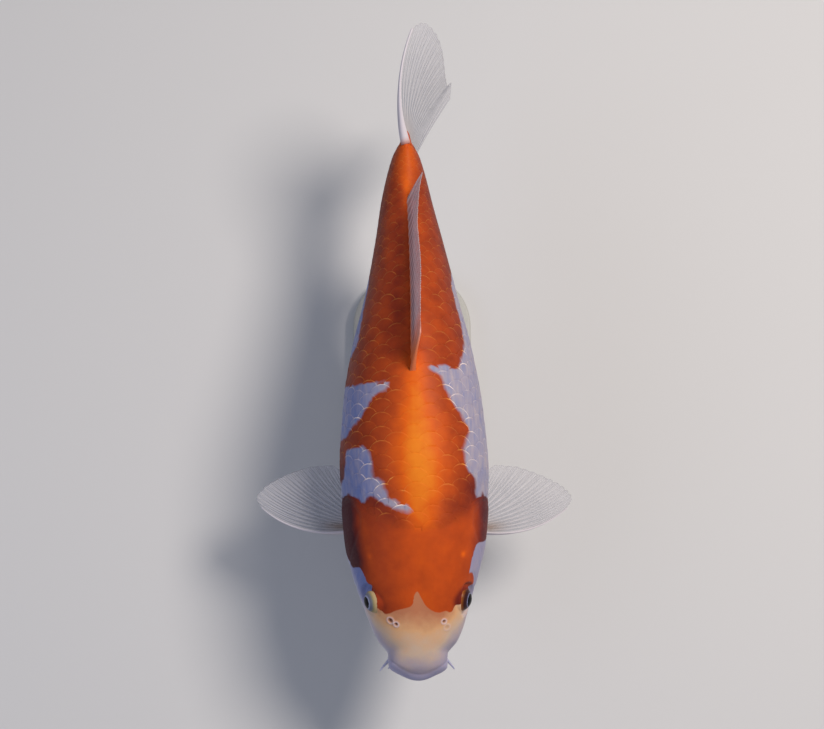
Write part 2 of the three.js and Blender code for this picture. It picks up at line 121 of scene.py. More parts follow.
def bump(distance, width):
    """A round bump along a line, 1 on it."""
    return np.exp(-((distance / width) ** 2))


def place(at, left, up):
    """Points of the frame, in mm, from how far they lie behind the lip, left and above the middle line."""
    roll = HEAD_ROLL * (1 - step(at, 20, 150))
    across = drift(at) + left * np.cos(roll) + up * np.sin(roll)
    height = SPINE_HEIGHT + up * np.cos(roll) - left * np.sin(roll)
    return np.stack(np.broadcast_arrays(across, SNOUT_Y + at, height), -1)


TAIL_THIN = 0.25  # the hind end of the stalk narrows by this share, to the thickness of the tail fin's root
RING_STEPS = 1440  # steps round a cross section, before it is spaced evenly


def body_rings(places, columns):
    """Rings of the body's surface: how far behind the lip, left and up, at evenly spaced steps round it.

    turn runs from the belly over the right side, the back (0.5) and the left side to the belly (1)."""
    at = np.asarray(places, float)[:, None]
    angle = np.linspace(-np.pi, np.pi, RING_STEPS + 1)[None, :]
    c, s = np.cos(angle), np.sin(angle)
    power = 2 / np.where(c >= 0, round_above(at), round_below(at))
    wide = widest_level(at)
    reach = np.where(c >= 0, back_line(at), belly_line(at)) - wide
    side = half_width(at) * (1 - TAIL_THIN * step(at, SECTIONS[-2][0], STANDARD_LENGTH))
    left = np.sign(s) * side * np.abs(s) ** power
    up = wide + reach * np.abs(c) ** power
    gone = np.hypot(np.diff(left), np.diff(up)).cumsum(axis=1)
    gone = np.hstack([np.zeros_like(at), gone])
    turn = np.linspace(0, 1, columns + 1)
    rings = [[np.interp(turn * g[-1], g, line) for line in (x, y)] for g, x, y in zip(gone, left, up)]
    left, up = np.array(rings).transpose(1, 0, 2)
    return np.broadcast_to(at, left.shape), left, up, np.broadcast_to(turn, left.shape)


def outward(points):
    """Unit normals of a grid of points whose columns run round the body, first and last column alike."""
    along = np.gradient(points, axis=0)
    padded = np.concatenate([points[:, -2:-1], points, points[:, 1:2]], axis=1)
    round_it = padded[:, 2:] - padded[:, :-2]
    normal = np.cross(round_it, along)
    return normal / np.maximum(np.linalg.norm(normal, axis=-1, keepdims=True), 1e-9)


# The head's hind edge in side view, from the throat over the gill opening to the nape.
head_edge = smooth_through(
    [(-66, 68), (-44, 84), (-28, 106), (-6, 114), (14, 115), (28, 112), (37, 103), (46, 90), (60, 80)]
)
# The gill cover's plate in side view.
COVER_OUTLINE = [
    (98, 32), (110, 25), (117, 6), (116, -12), (108, -27), (91, -38.5), (78, -27), (72.5, -9),
    (77, 9), (86, 24),
]
HEAD_TURN = 0.035  # the head turns a little, so what is on its left lies further back
EYE = (49.5, 25.7, 12.5)  # behind the lip, out, up
EYE_RADIUS = 8.6
GAZE = (-0.24, 1.0, 0.28)  # the line of sight of the socket: behind the lip, out, up
LID_ANGLE = math.radians(68)  # from the line of sight to the edge of the lids
MOUTH_END = 18.5  # the corner of the mouth, behind the lip


def mouth_level(at):
    """The mouth's slit in side view."""
    return -12 - 0.32 * at


def distance_to(line, at, up, closed=False):
    """Distance in side view to a line through points, with its corners cut round. Inside a closed line it is
    positive, and outside negative."""
    p = np.array(line, float)
    for _ in range(3):
        q = np.roll(p, -1, axis=0) if closed else p[1:]
        p0 = p if closed else p[:-1]
        cut = np.stack([0.75 * p0 + 0.25 * q, 0.25 * p0 + 0.75 * q], 1).reshape(-1, 2)
        p = cut if closed else np.vstack([p[:1], cut, p[-1:]])
    ends = np.roll(p, -1, axis=0) if closed else p[1:]
    starts = p if closed else p[:-1]
    best = np.full(at.shape, 1e9)
    inside = np.zeros(at.shape, bool)
    for (x0, y0), (x1, y1) in zip(starts, ends):
        dx, dy = x1 - x0, y1 - y0
        t = np.clip(((at - x0) * dx + (up - y0) * dy) / (dx * dx + dy * dy), 0, 1)
        best = np.minimum(best, np.hypot(at - x0 - t * dx, up - y0 - t * dy))
        if abs(dy) > 1e-9:
            inside ^= ((y0 > up) != (y1 > up)) & (at < x0 + (up - y0) * dx / dy)
    return np.where(inside, best, -best) if closed else best


SCALE_DEPTH = 0.5  # how deep the scales are rooted at the shoulder
UNDER_ROOTS = 0.25  # and how much deeper the skin lies
PITCH = [(0, 9), (215, 9), (290, 7), (330, 5.6), (360, 5)]  # from one scale to the next along the body
pitch = smooth_through(PITCH)


def scale_share(at):
    """How large the scales are there, 1 at the shoulder."""
    return pitch(at) / PITCH[0][1]


def over_gills(left):
    """1 over the gills, where the head's hind edge is free, and 0 at the nape and the throat."""
    return step(np.abs(left), 27, 36)


# The upper and lower lips end at these lines in side view.
upper_lip_line = smooth_through(
    [(0, -5), (4.1, -4.3), (6.2, -3), (9.2, -2.2), (12, -4), (14.5, -7.5), (17.5, -13.5), (19, -18)]
)
lower_lip_line = smooth_through([(0, -18.5), (4, -20), (12, -22.5), (16, -21.5), (19, -18)])
# Each nostril has two openings by a small flap: behind the lip, out and up, on the right and on the left.
FIRST_OPENING = ((32.9, 15.4, 15.9), (34.8, 14.8, 17.6))
SECOND_OPENING = ((35.3, 18.9, 15.8), (31.7, 16.8, 14.3))


def nostril_reach(at, left, up):
    """Distances from the two openings of a nostril, and how far the second one stands open."""
    reaches = []
    for centres in (FIRST_OPENING, SECOND_OPENING):
        right_one, left_one = (
            np.sqrt((at - a) ** 2 + (np.abs(left) - out) ** 2 + (up - u) ** 2) for a, out, u in centres
        )
        reaches.append(np.where(left < 0, right_one, left_one))
    return *reaches, np.where(left < 0, 1, 0.15)


def eye_reach(at, left, up):
    """How far a place on the head is from the nearer eye's centre, and its angle from the line of sight."""
    parts = np.stack([at - HEAD_TURN * left - EYE[0], np.abs(left) - EYE[1], up - EYE[2]])
    reach = np.sqrt((parts**2).sum(axis=0))
    ahead = np.tensordot(np.array(GAZE) / np.linalg.norm(GAZE), parts, 1)
    return reach, np.arccos(np.clip(ahead / reach, -1, 1))


UPPER_FULL, LOWER_FULL = 0.2, 0.45  # how far each lip swells
UPPER_GROOVE, LOWER_GROOVE = 0.2, 0.5  # how deep the groove behind each lip is
SLIT_DEEP, SLIT_HALF = 2.2, 0.6
LIP_BLUNT = 1.1  # how far the very front of the lips is flattened


def lips(at, left, up):
    """The rolls of both lips, the mouth's slit and the grooves round the lips."""
    slit = mouth_level(at)
    above, below = upper_lip_line(at), lower_lip_line(at)
    ahead = 1 - step(at, MOUTH_END - 1, MOUTH_END + 1.5)
    roll_up = np.clip((up - slit) / (above - slit), 0, 1)
    roll_down = np.clip((slit - up) / (slit - below), 0, 1)
    rolls = UPPER_FULL * np.sin(np.pi * roll_up) ** 0.8 + LOWER_FULL * np.sin(np.pi * roll_down) ** 0.8
    grooves = UPPER_GROOVE * bump(up - above, 0.9) + LOWER_GROOVE * bump(up - below, 1.0)
    blunt = LIP_BLUNT * (1 - step(at, 0, 9))
    return ahead * (rolls - grooves - blunt - SLIT_DEEP * bump(up - slit, SLIT_HALF))


SOCKET_GAP, LID_THICK = 0.4, 0.35  # the skin lies this far under the eyeball, and this far over it


def lids(at, left, up):
    """The skin dips under the eyeball inside its round opening, and lies over the ball around it."""
    reach, angle = eye_reach(at, left, up)
    closed = step(angle, LID_ANGLE - 0.1, LID_ANGLE + 0.1)
    near = 1 - step(reach, EYE_RADIUS + 2, EYE_RADIUS + 5)
    under = near * np.minimum(EYE_RADIUS - SOCKET_GAP - reach, 0)
    over = np.maximum(EYE_RADIUS + LID_THICK - reach, 0)
    return under * (1 - closed) + over * closed


# Folds of the face in side view: how deep and wide, between which places outward they deepen, and the line.
FACE_FOLDS = {
    "cheek": (0.5, 1.3, (18, 30), [(66, 17), (61, 8), (59, -6), (64, -22), (74, -33)]),
    "under eye": (0.35, 1.3, (18, 30), [(33, -2), (40, -1.5), (50, -4.5), (60, -1), (66, 9)]),
    "chin": (0.55, 1.1, (8, 14), [(18, -17), (23, -21), (31, -25), (42, -31)]),
    "muzzle": (0.15, 1.4, (7, 12), [(17, -13), (19, -7), (19.5, -3)]),
}
# The edges of the gill covers under the throat, seen from below.
THROAT_LINE = [(52, 2.5), (66, 7), (80, 15), (94, 25), (104, 33)]


def head_relief(at, left, up):
    """How far the head's skin stands out from the plain form, in mm."""
    side = np.abs(left)
    relief = lips(at, left, up) + lids(at, left, up)
    # Each opening of a nostril is a pit with a raised rim.
    front, hind, open_ = nostril_reach(at, left, up)
    relief += 0.45 * bump(front - 1.6, 0.55) - 0.9 * bump(front, 0.9)
    relief += (0.2 + 0.3 * open_) * bump(hind - 2.1, 0.6) - 1.1 * open_ * bump(hind, 1.2)
    cover = distance_to(COVER_OUTLINE, at, up, closed=True)
    relief += step(side, 18, 30) * (0.4 * step(cover, -1, 9) - 0.3 * bump(cover, 1.5))
    for deep, wide, (starts, full), line in FACE_FOLDS.values():
        relief -= deep * bump(distance_to(line, at, up), wide) * step(side, starts, full)
    relief -= 0.8 * bump(distance_to(THROAT_LINE, at, side), 1.2) * step(-up, 22, 30)
    # The skull has two low ridges with a furrow between them.
    skull = 0.3 * bump(side - 9, 5) * bump(at - 56, 16) - 0.3 * bump(side, 4) * bump(at - 52, 20)
    return relief + skull * step(up, 8, 16)


# The markings are a map of the fish: how far behind the lip, and how far round from the back (0) to the
# belly (1), minus on the fish's right. Red spreads from the back. The belly, throat and snout stay white.
# First the front of the head's red, by how far round, and then its edges along the left and right side.
RED_FRONT = smooth_through(
    [
        (-1, 125), (-0.62, 120), (-0.56, 96), (-0.5, 78), (-0.42, 70), (-0.34, 68.5), (-0.315, 64),
        (-0.3, 56), (-0.275, 47), (-0.262, 42), (-0.239, 39.1), (-0.202, 39.4), (-0.164, 40.6),
        (-0.106, 41.8), (-0.065, 42.8), (-0.046, 44.6), (-0.032, 49.6), (-0.014, 51.6),
        (0.007, 47.7), (0.033, 43.4), (0.077, 40.6), (0.116, 39.7), (0.172, 40.9), (0.19, 40.3),
        (0.213, 40.9), (0.226, 44.5), (0.259, 46), (0.282, 60), (0.29, 76), (0.31, 83), (0.4, 87),
        (0.5, 93), (0.56, 102), (0.62, 120), (1, 125),
    ]
)
LEFT_EDGE = smooth_through(
    [
        (80, 0.5), (105, 0.44), (109, 0.34), (110.5, 0.29), (118, 0.285), (122, 0.277),
        (125, 0.255), (127, 0.23), (131, 0.212), (137, 0.21), (144, 0.217), (152.5, 0.243),
        (157.5, 0.223), (163, 0.197), (170, 0.155), (181, 0.13), (186.5, 0.1), (188.8, 0.05),
        (190.3, 0.06), (191.5, 0.2), (199.8, 0.246), (217.8, 0.304), (251, 0.31), (262, 0.36),
        (272, 0.52), (300, 0.6), (360, 0.66),
    ]
)
RIGHT_EDGE = smooth_through(
    [
        (80, 0.02), (102, 0.02), (104.3, 0.067), (107.7, 0.112), (114, 0.132), (118.5, 0.144),
        (121.5, 0.184), (129, 0.18), (136, 0.183), (140.4, 0.2), (142, 0.27), (144.5, 0.4),
        (147, 0.52), (150, 0.5), (152, 0.38), (154.7, 0.3), (158, 0.256), (167, 0.2),
        (173.5, 0.147), (176, 0.11), (179.5, 0.08), (181, 0.1), (182, 0.2), (183.5, 0.26),
        (186.5, 0.386), (191, 0.56), (204, 0.56), (209, 0.36), (216, 0.32), (240, 0.35),
        (258, 0.38), (270, 0.5), (285, 0.6), (360, 0.66),
    ]
)
EYE_PATCH = (57, 0.31, 8.5, 0.06)  # red over the left eye: where, how far round, and its half sizes
SHOULDER_HOOK = (138, -0.44, 14, 0.09)  # and a red hook low on the right shoulder
MAP_SLOPE = 60  # mm along the body that count as much as the way from back to belly
EDGE_BLEND = 0.8  # mm on either side of the head's hind edge
# Behind the head, the white of the right shoulder starts at this line, by how far round.
SHOULDER_FRONT = smooth_through(
    [
        (0, 98), (0.068, 100), (0.1, 100.6), (0.132, 103.7), (0.16, 107.1), (0.2, 110),
        (0.224, 109), (0.248, 106.5), (0.275, 109.2), (0.327, 111.4), (0.4, 112), (0.5, 60),
    ]
)


def red_amount(at, round_, behind, softness):
    """1 in the red, 0 in the white. behind is how far a place lies behind the head's hind edge, and softness
    is half the width of the red's border on the map."""
    trunk = np.where(round_ >= 0, LEFT_EDGE(at), RIGHT_EDGE(at)) - np.abs(round_)
    head = (at - RED_FRONT(round_)) / MAP_SLOPE
    patches = []
    for where, far_round, long, wide in (EYE_PATCH, SHOULDER_HOOK):
        patches.append(0.05 * (1 - ((at - where) / long) ** 2 - ((round_ - far_round) / wide) ** 2))
    head, trunk = np.maximum(head, patches[0]), np.maximum(trunk, patches[1])
    shoulder = np.where(round_ < 0, (SHOULDER_FRONT(-round_) - at) / MAP_SLOPE, trunk)
    trunk = np.maximum(trunk, shoulder)
    return step(head + (trunk - head) * step(behind, -EDGE_BLEND, EDGE_BLEND), -softness, softness)


# Two painted highlights on small bumps behind the eyes, stronger on the fish's left by the key lamp: behind
# the lip, left and up, and how much more orange they are.
BUMP_HIGHLIGHTS = (((73.7, -30.4, 29.1), 0.13), ((75.2, 28.3, 31.6), 0.3))


def how_orange(at, round_, left, up, behind):
    """How orange the red is: 0 maroon, a half plain koi red, 1 a golden orange. It also holds painted light:
    a highlight along the back, and painted shade down the flanks, at the nape, on the gill covers and on the
    fish's right.
    """
    side = np.abs(round_)
    # The trunk is golden in a stripe along the back, less so by the dorsal fin, and broader on the stalk:
    # partly gold pigment and partly a painted highlight of the light from above.
    by_fin = step(at, 190, 206) * (1 - step(at, 296, 322))
    stalk = step(at, 318, 346)
    stripe = bump(round_ - 0.01, 0.05 + 0.045 * bump(at - 122, 30) + 0.13 * stalk)
    trunk = 0.36 + (0.36 - 0.1 * stalk) * stripe * (1 - 0.75 * by_fin)
    # A golden patch on the shoulder, and darker red down the flanks, partly deeper pigment and partly
    # painted shade.
    trunk += 0.3 * bump(round_ - 0.035, 0.13) * bump(at - 135, 42) - 0.13 * step(side, 0.16, 0.42)
    # By the dorsal fin: painted light on the fish's left, and the fin's painted shadow on its right.
    trunk += by_fin * (0.06 * bump(round_ - 0.1, 0.07) - 0.1 * bump(round_ + 0.07, 0.06))
    # The nape is painted darker, as shade behind the head's edge, but for a tongue of the stripe. The gill
    # covers are maroon, partly their own colour and partly painted shade on the head's steep sides, most on
    # the fish's right, away from the key lamp. Round the eyes the red is darker, most round the left eye.
    tongue = bump(round_ - 0.03, 0.11)
    trunk -= 0.15 * bump(behind - 8, 15) * (1 - tongue)
    # On the head, a painted highlight along the top, and painted shade on the fish's right, away from the
    # key lamp.
    head = 0.5 + 0.07 * bump(round_ - 0.04, 0.1) - 0.08 * step(-round_, 0.04, 0.2)
    head -= 0.06 * bump(behind + 5, 9) * (1 - tongue)
    head -= (0.42 + 0.1 * (round_ < 0)) * step(side, 0.25, 0.37) * step(at, 58, 72)
    for spot, share in BUMP_HIGHLIGHTS:
        away = np.sqrt((at - spot[0]) ** 2 + (left - spot[1]) ** 2 + (up - spot[2]) ** 2)
        head += share * bump(away, 1.8)
    reach, _ = eye_reach(at, left, up)
    head -= np.where(round_ > 0, 0.32, 0.1) * bump(reach - EYE_RADIUS, 2.5)
    return head + (trunk - head) * step(behind, -12, 8)


# How warm the middle of the snout's white is, by how far behind the lip.
snout_warmth = smooth_through(
    [(0, 0.24), (4, 0.34), (9, 0.44), (15, 0.56), (24, 0.7), (31, 0.82), (37, 0.96), (44, 1.08)]
)


def white_warmth(at, round_, behind):
    """How warm the white is: 0 a bluish lavender, a half beige, 1 the salmon just ahead of the red. The
    bluish end also serves for painted shade, on the fish's right cheek and flank and partly on the snout's
    sides.
    """
    # Down the snout's sides the white cools, partly its own colour and partly painted shade.
    head = snout_warmth(at) * (1 - 0.55 * step(np.abs(round_ + 0.03), 0.14, 0.45))
    # The cheek on the fish's right is bluer with painted shade, away from the key lamp.
    cheek = 0.22 - 0.2 * (round_ < 0)
    head += (cheek - head) * step(at, 42, 54) * step(np.abs(round_), 0.1, 0.24)
    # On the trunk the fish's right is bluer with painted shade, away from the key lamp.
    trunk = 0.27 - 0.2 * step(-round_, 0.05, 0.3)
    return head + (trunk - head) * step(behind, -30, 0)


def pale(round_):
    """How far the white pales to the neutral white of the belly and the throat."""
    return step(np.abs(round_), 0.38, 0.6)


def border_glint(at, round_, behind):
    """Where painted glints, bright strokes of light on the scales' rims, run in the white along the red on
    the back, most of all on the right shoulder.
    """
    edge = np.abs(round_) - np.where(round_ >= 0, LEFT_EDGE(at), RIGHT_EDGE(at))
    along = bump(edge - 0.02, 0.04) * (1 - step(np.abs(round_), 0.24, 0.36)) * step(behind, 0, 4)
    return along + 2 * bump(at - 109, 12) * bump(round_ + 0.11, 0.05)


def new_piece(name, points, faces):
    """A smooth mesh object from points in mm and rows of point numbers."""
    mesh = bpy.data.meshes.new(name)
    mesh.from_pydata((np.asarray(points) * MM).tolist(), [], [list(face) for face in faces])
    mesh.shade_smooth()
    piece = bpy.data.objects.new(name, mesh)
    bpy.context.scene.collection.objects.link(piece)
    return piece


def note(piece, name, values):
    """Keeps one number, or one vector, for each point of the mesh, for its material."""
    values = np.asarray(values, np.float32)
    kind, field = ("FLOAT", "value") if values.ndim == 1 else ("FLOAT_VECTOR", "vector")
    piece.data.attributes.new(name, kind, "POINT").data.foreach_set(field, values.ravel())


def tube_faces(rows, columns):
    """Quads of a grid that closes round its columns."""
    row, column = np.mgrid[0 : rows - 1, 0:columns]
    here, after = row * columns + column, row * columns + (column + 1) % columns
    return np.stack([here, after, after + columns, here + columns], -1).reshape(-1, 4)


def closed_loft(name, grid):
    """A tube over rows of points, each a ring without its last point repeated, with both ends closed."""
    rows, columns = grid.shape[:2]
    points = np.vstack([grid.reshape(-1, 3), grid[0].mean(0), grid[-1].mean(0)])
    faces = tube_faces(rows, columns).tolist()
    ring = np.arange(columns)
    first, last = rows * columns, (rows - 1) * columns
    faces += [[first, (i + 1) % columns, i] for i in ring]
    faces += [[first + 1, last + i, last + (i + 1) % columns] for i in ring]
    return new_piece(name, points, faces)


SKIN_COLUMNS = 360
NOSE_TO, FACE_TO, HEAD_TO = 20, 62, 118
SKIN_TO = STANDARD_LENGTH + 1.5
# The rows stand closest on the nose and face, and wider apart on the trunk, which is under the scales.
skin_rows = [0.1 + (NOSE_TO - 0.1) * np.linspace(0, 1, 56) ** 1.5]
for start, end, count in ((NOSE_TO, FACE_TO, 81), (FACE_TO, HEAD_TO, 76), (HEAD_TO, SKIN_TO, 55)):
    skin_rows.append(np.linspace(start, end, count)[1:])
at, left, up, turn = body_rings(np.concatenate(skin_rows), SKIN_COLUMNS)
behind_head = at - head_edge(up)
gill_free = over_gills(left)
# Over the gills the skin drops off the head's edge at once, and at the nape and the throat it slopes down.
sink = SCALE_DEPTH * scale_share(at) * step(behind_head, -2 + 1.2 * gill_free, 14 - 12.8 * gill_free)
sink += UNDER_ROOTS * step(behind_head, -5 + 4.2 * gill_free, 1.2)
sink += 0.2 * gill_free * bump(behind_head - 2.2, 1.6)
lie = head_relief(at, left, up) * (1 - step(behind_head, -10 + 8.5 * gill_free, 2 - 1.5 * gill_free))
membrane = gill_free * bump(behind_head + 2.2, 1.6)
lie -= 0.3 * membrane
surface = place(at, left, up)
surface = surface + outward(surface) * (lie - sink)[..., None]
skin = closed_loft("skin", surface[:, :-1])

round_from_back = 2 * turn - 1
front, hind, open_ = nostril_reach(at, left, up)
mouth = 1 - step(at, MOUTH_END - 1, MOUTH_END + 1)
slit = bump(up - mouth_level(at), 0.7) * mouth
lip = step(upper_lip_line(at) - up, -0.3, 1) * step(up - lower_lip_line(at), -0.3, 1) * mouth
# Painted shade in the groove behind the upper lip.
lip_groove_shade = 0.1 * bump(up - upper_lip_line(at), 1.2) * mouth
skin_notes = {
    "red": red_amount(at, round_from_back, behind_head, 0.014),
    "orange": how_orange(at, round_from_back, left, up, behind_head),
    "warmth": white_warmth(at, round_from_back, behind_head),
    "glint": border_glint(at, round_from_back, behind_head),
    "pale": pale(round_from_back),
    "lip": lip,
    # pit is painted shade in the nostrils' openings and in the mouth's slit.
    "pit": np.maximum.reduce([bump(front, 0.95), open_ * bump(hind, 1.35), slit]),
    "rim": np.maximum(bump(front - 1.65, 0.5), (0.3 + 0.5 * open_) * bump(hind - 2.15, 0.5)),
    # Painted shade in the lip's groove and under the gill cover's free edge.
    "gloom": np.clip(lip_groove_shade + 0.12 * membrane, 0, 1),
}
for name, values in skin_notes.items():
    values = values[:, :-1]
    note(skin, name, np.concatenate([values.ravel(), [values[0].mean(), values[-1].mean()]]))


def srgb(code):
    """An sRGB hex colour as the linear colour that shaders take."""
    parts = [int(code[i : i + 2], 16) / 255 for i in (1, 3, 5)]
    return [p / 12.92 if p <= 0.04045 else ((p + 0.055) / 1.055) ** 2.4 for p in parts] + [1.0]


def add(tree, kind, inputs={}, stops=(), **settings):
    """Adds a node. inputs gives a value, or an output to link, by the socket's name or number, and stops the
    places and colours of a colour ramp."""
    made = tree.nodes.new(kind)
    for key, value in settings.items():
        setattr(made, key, value)
    for number, (where, code) in enumerate(stops):
        elements = made.color_ramp.elements
        element = elements[number] if number < 2 else elements.new(where)
        element.position = where
        element.color = srgb(code)
    for socket, value in inputs.items():
        if isinstance(value, bpy.types.NodeSocket):
            tree.links.new(value, made.inputs[socket])
        else:
            made.inputs[socket].default_value = value
    return made


def new_material(name, finish):
    """A material with its tree and its Principled shader, whose plain values finish gives."""
    material = bpy.data.materials.new(name)
    material.use_nodes = True
    shader = material.node_tree.nodes["Principled BSDF"]
    for socket, value in finish.items():
        shader.inputs[socket].default_value = value
    return material, material.node_tree, shader


# Reds from maroon to golden orange. how_orange also uses the dark end for painted shade and the bright end
# for painted highlight.
KOI_REDS = (
    (0.0, "#45161f"), (0.2, "#73271c"), (0.38, "#9c3c1c"), (0.56, "#c04e1c"), (0.76, "#dc5f18"),
    (1.0, "#eb8122"),
)
# Whites from a bluish lavender to salmon. The bluish low end also serves for painted shade on the fish's
# right.
KOI_WHITES = (
    (0.0, "#6f7bb0"), (0.25, "#9a94ad"), (0.42, "#b3a5ae"), (0.58, "#cfb5a1"), (0.78, "#dbaa7f"),
    (1.0, "#bb7a5a"),
)
WET = {"Specular IOR Level": 0.08}
FLESH = {
    "Subsurface Weight": 0.1,
    "Subsurface Radius": (1.0, 0.4, 0.25),
    "Subsurface Scale": 2 * MM,
}

# Wet koi skin: smooth and softly glossy over pigment that lies in clouds, with pores about 0.9 mm apart.
CLOUD_MM, FLECK_MM, PORE_MM = 9, 1.6, 0.9
wet_skin, tree, shader = new_material("wet_koi_skin", WET | FLESH)
place_on = add(tree, "ShaderNodeTexCoord").outputs["Object"]
value = {key: add(tree, "ShaderNodeAttribute", attribute_name=key).outputs["Fac"] for key in skin_notes}
cloud = add(tree, "ShaderNodeTexNoise", {"Vector": place_on, "Scale": 1 / (CLOUD_MM * MM), "Detail": 5})
fleck = add(tree, "ShaderNodeTexNoise", {"Vector": place_on, "Scale": 1 / (FLECK_MM * MM), "Detail": 3})
cloudy = add(tree, "ShaderNodeMath", {0: cloud.outputs[0], 1: 0.5}, operation="SUBTRACT").outputs[0]
orange = add(tree, "ShaderNodeMath", {0: cloudy, 1: 0.25, 2: value["orange"]}, operation="MULTIPLY_ADD")
warmth = add(tree, "ShaderNodeMath", {0: cloudy, 1: 0.25, 2: value["warmth"]}, operation="MULTIPLY_ADD")
red = add(tree, "ShaderNodeValToRGB", {0: orange.outputs[0]}, KOI_REDS)
colour = add(tree, "ShaderNodeValToRGB", {0: warmth.outputs[0]}, KOI_WHITES).outputs[0]
# The red's border wanders by the flecks, so that it isn't a drawn line.
inputs = {0: fleck.outputs[0], 1: 0.4, 2: value["red"]}
wander = add(tree, "ShaderNodeMath", inputs, operation="MULTIPLY_ADD")
border = add(tree, "ShaderNodeMapRange", {"Value": wander.outputs[0], "From Min": 0.45, "From Max": 0.95})
BELLY_WHITE, PALE_SHARE = srgb("#d6d2d8"), 0.85
layers = (
    (value["pale"], PALE_SHARE, BELLY_WHITE),
    (border.outputs[0], 1, red.outputs[0]),
    (value["lip"], 0.6, srgb("#aca7c4")),
    # Painted shade: dark in the lip's groove and under the gill cover's free edge.
    (value["gloom"], 0.6, srgb("#3a1d22")),
    (value["rim"], 0.9, srgb("#e2cdd2")),
    # Painted shade in the nostrils' openings and the mouth's slit.
    (value["pit"], 0.9, srgb("#5f2d35")),
)
for mask, share, layer in layers:
    cover = add(tree, "ShaderNodeMath", {0: mask, 1: share}, operation="MULTIPLY").outputs[0]
    colour = add(tree, "ShaderNodeMix", {0: cover, 6: colour, 7: layer}, data_type="RGBA").outputs[2]
inputs = {"Vector": place_on, "Scale": 1 / (PORE_MM * MM)}
pores = add(tree, "ShaderNodeTexVoronoi", inputs, feature="SMOOTH_F1")
inputs = {0: pores.outputs["Distance"], 1: 0.25, 2: cloud.outputs[0]}
height = add(tree, "ShaderNodeMath", inputs, operation="MULTIPLY_ADD").outputs[0]
skin_bump = add(tree, "ShaderNodeBump", {"Strength": 0.3, "Distance": 0.3 * MM, "Height": height})
inputs = {"Value": fleck.outputs[0], "From Min": 0.3, "From Max": 0.7, "To Min": 0.42, "To Max": 0.58}
gloss = add(tree, "ShaderNodeMapRange", inputs)
tree.links.new(colour, shader.inputs["Base Color"])
tree.links.new(gloss.outputs[0], shader.inputs["Roughness"])
tree.links.new(skin_bump.outputs[0], shader.inputs["Normal"])
skin.data.materials.append(wet_skin)
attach(skin, "root")
FLESH_NODES = ("head", "upper_lip", "lower_lip", "trunk_front", "trunk_rear", "tail_stalk")
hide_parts(*FLESH_NODES, "gill_cover_left", "gill_cover_right")

# ---------------------------------------------------------------- scales
# Thirty files of scales round the body, staggered and lapped like tiles. Each is a thin bony plate, rooted
# in the skin ahead and free at its rounded hind edge. They are laid out flat, then wrapped onto their bed.

FILES_ROUND = 30
BED_ROWS, BED_COLUMNS = 230, 192
SCALED_FROM, SCALED_TO = 40, STANDARD_LENGTH + 1.2
run = np.linspace(0, STANDARD_LENGTH + 2, 2000)
rows_to = np.concatenate([[0], np.cumsum(np.diff(run) / pitch(run[1:]))])
ROWS_ALONG = float(rows_to[-1])

at, left, up, turn = body_rings(np.linspace(SCALED_FROM, SCALED_TO, BED_ROWS), BED_COLUMNS)
behind_head = at - head_edge(up)
plain = place(at, left, up)
normal = outward(plain)
# At the nape the first scales come up out of the head's thick skin. Behind the gills they start below it.
gill_free = over_gills(left)
NAPE_DIP = 0.2  # mm more, so that no root shows
rooted = gill_free + (1 - gill_free) * step(behind_head, -2, 14)
dip = NAPE_DIP * (1 - gill_free) * (1 - step(behind_head, -10, 0))
bed_points = plain - normal * (SCALE_DEPTH * scale_share(at) * rooted + dip)[..., None]
rows, columns = at.shape
row, column = np.mgrid[0 : rows - 1, 0 : columns - 1]
corner = row * columns + column
quads = np.stack([corner, corner + 1, corner + columns + 1, corner + columns], -1).reshape(-1, 4)
scales = new_piece("scales", bed_points.reshape(-1, 3), quads)
round_from_back = 2 * turn - 1
STALK_END, STALK_ROUND, STALK_HALF = 351, 6, 24  # the scales end in a round line at the tail fin
stalk_end = STALK_END + STALK_ROUND * np.cos(np.clip(up / STALK_HALF, -1, 1) * np.pi / 2)
bare = (behind_head < -5 + 6.5 * gill_free) | (at > stalk_end)
# The rims don't show along the ridge, nor near the head, where the scales lie flat in thick skin, apart from
# a few on the right shoulder that carry painted glints.
near_head = 1 - step(behind_head, 8, 30)
right_shoulder = bump(at - 109, 14) * bump(round_from_back + 0.11, 0.08)
ridge = bump(round_from_back - 0.01, 0.06) * (1 - step(at, 300, 330))
bed_notes = {
    "bare": bare.astype(float),
    "share": scale_share(at) * (1 - 0.5 * near_head),
    "red": red_amount(at, round_from_back, behind_head, 0.035),
    "orange": how_orange(at, round_from_back, left, up, behind_head),
    "warmth": white_warmth(at, round_from_back, behind_head),
    "glint": border_glint(at, round_from_back, behind_head),
    "pale": pale(round_from_back),
    "calm": np.maximum(near_head * (1 - right_shoulder), ridge),
}
for name, values in bed_notes.items():
    note(scales, name, values.ravel())
note(scales, "lie", normal.reshape(-1, 3))
flat_map = scales.data.uv_layers.new(name="lattice")
flat = np.stack([turn, np.interp(at, run, rows_to) / ROWS_ALONG], -1).reshape(-1, 2)
flat_map.data.foreach_set("uv", flat[quads.ravel()].astype(np.float32).ravel())

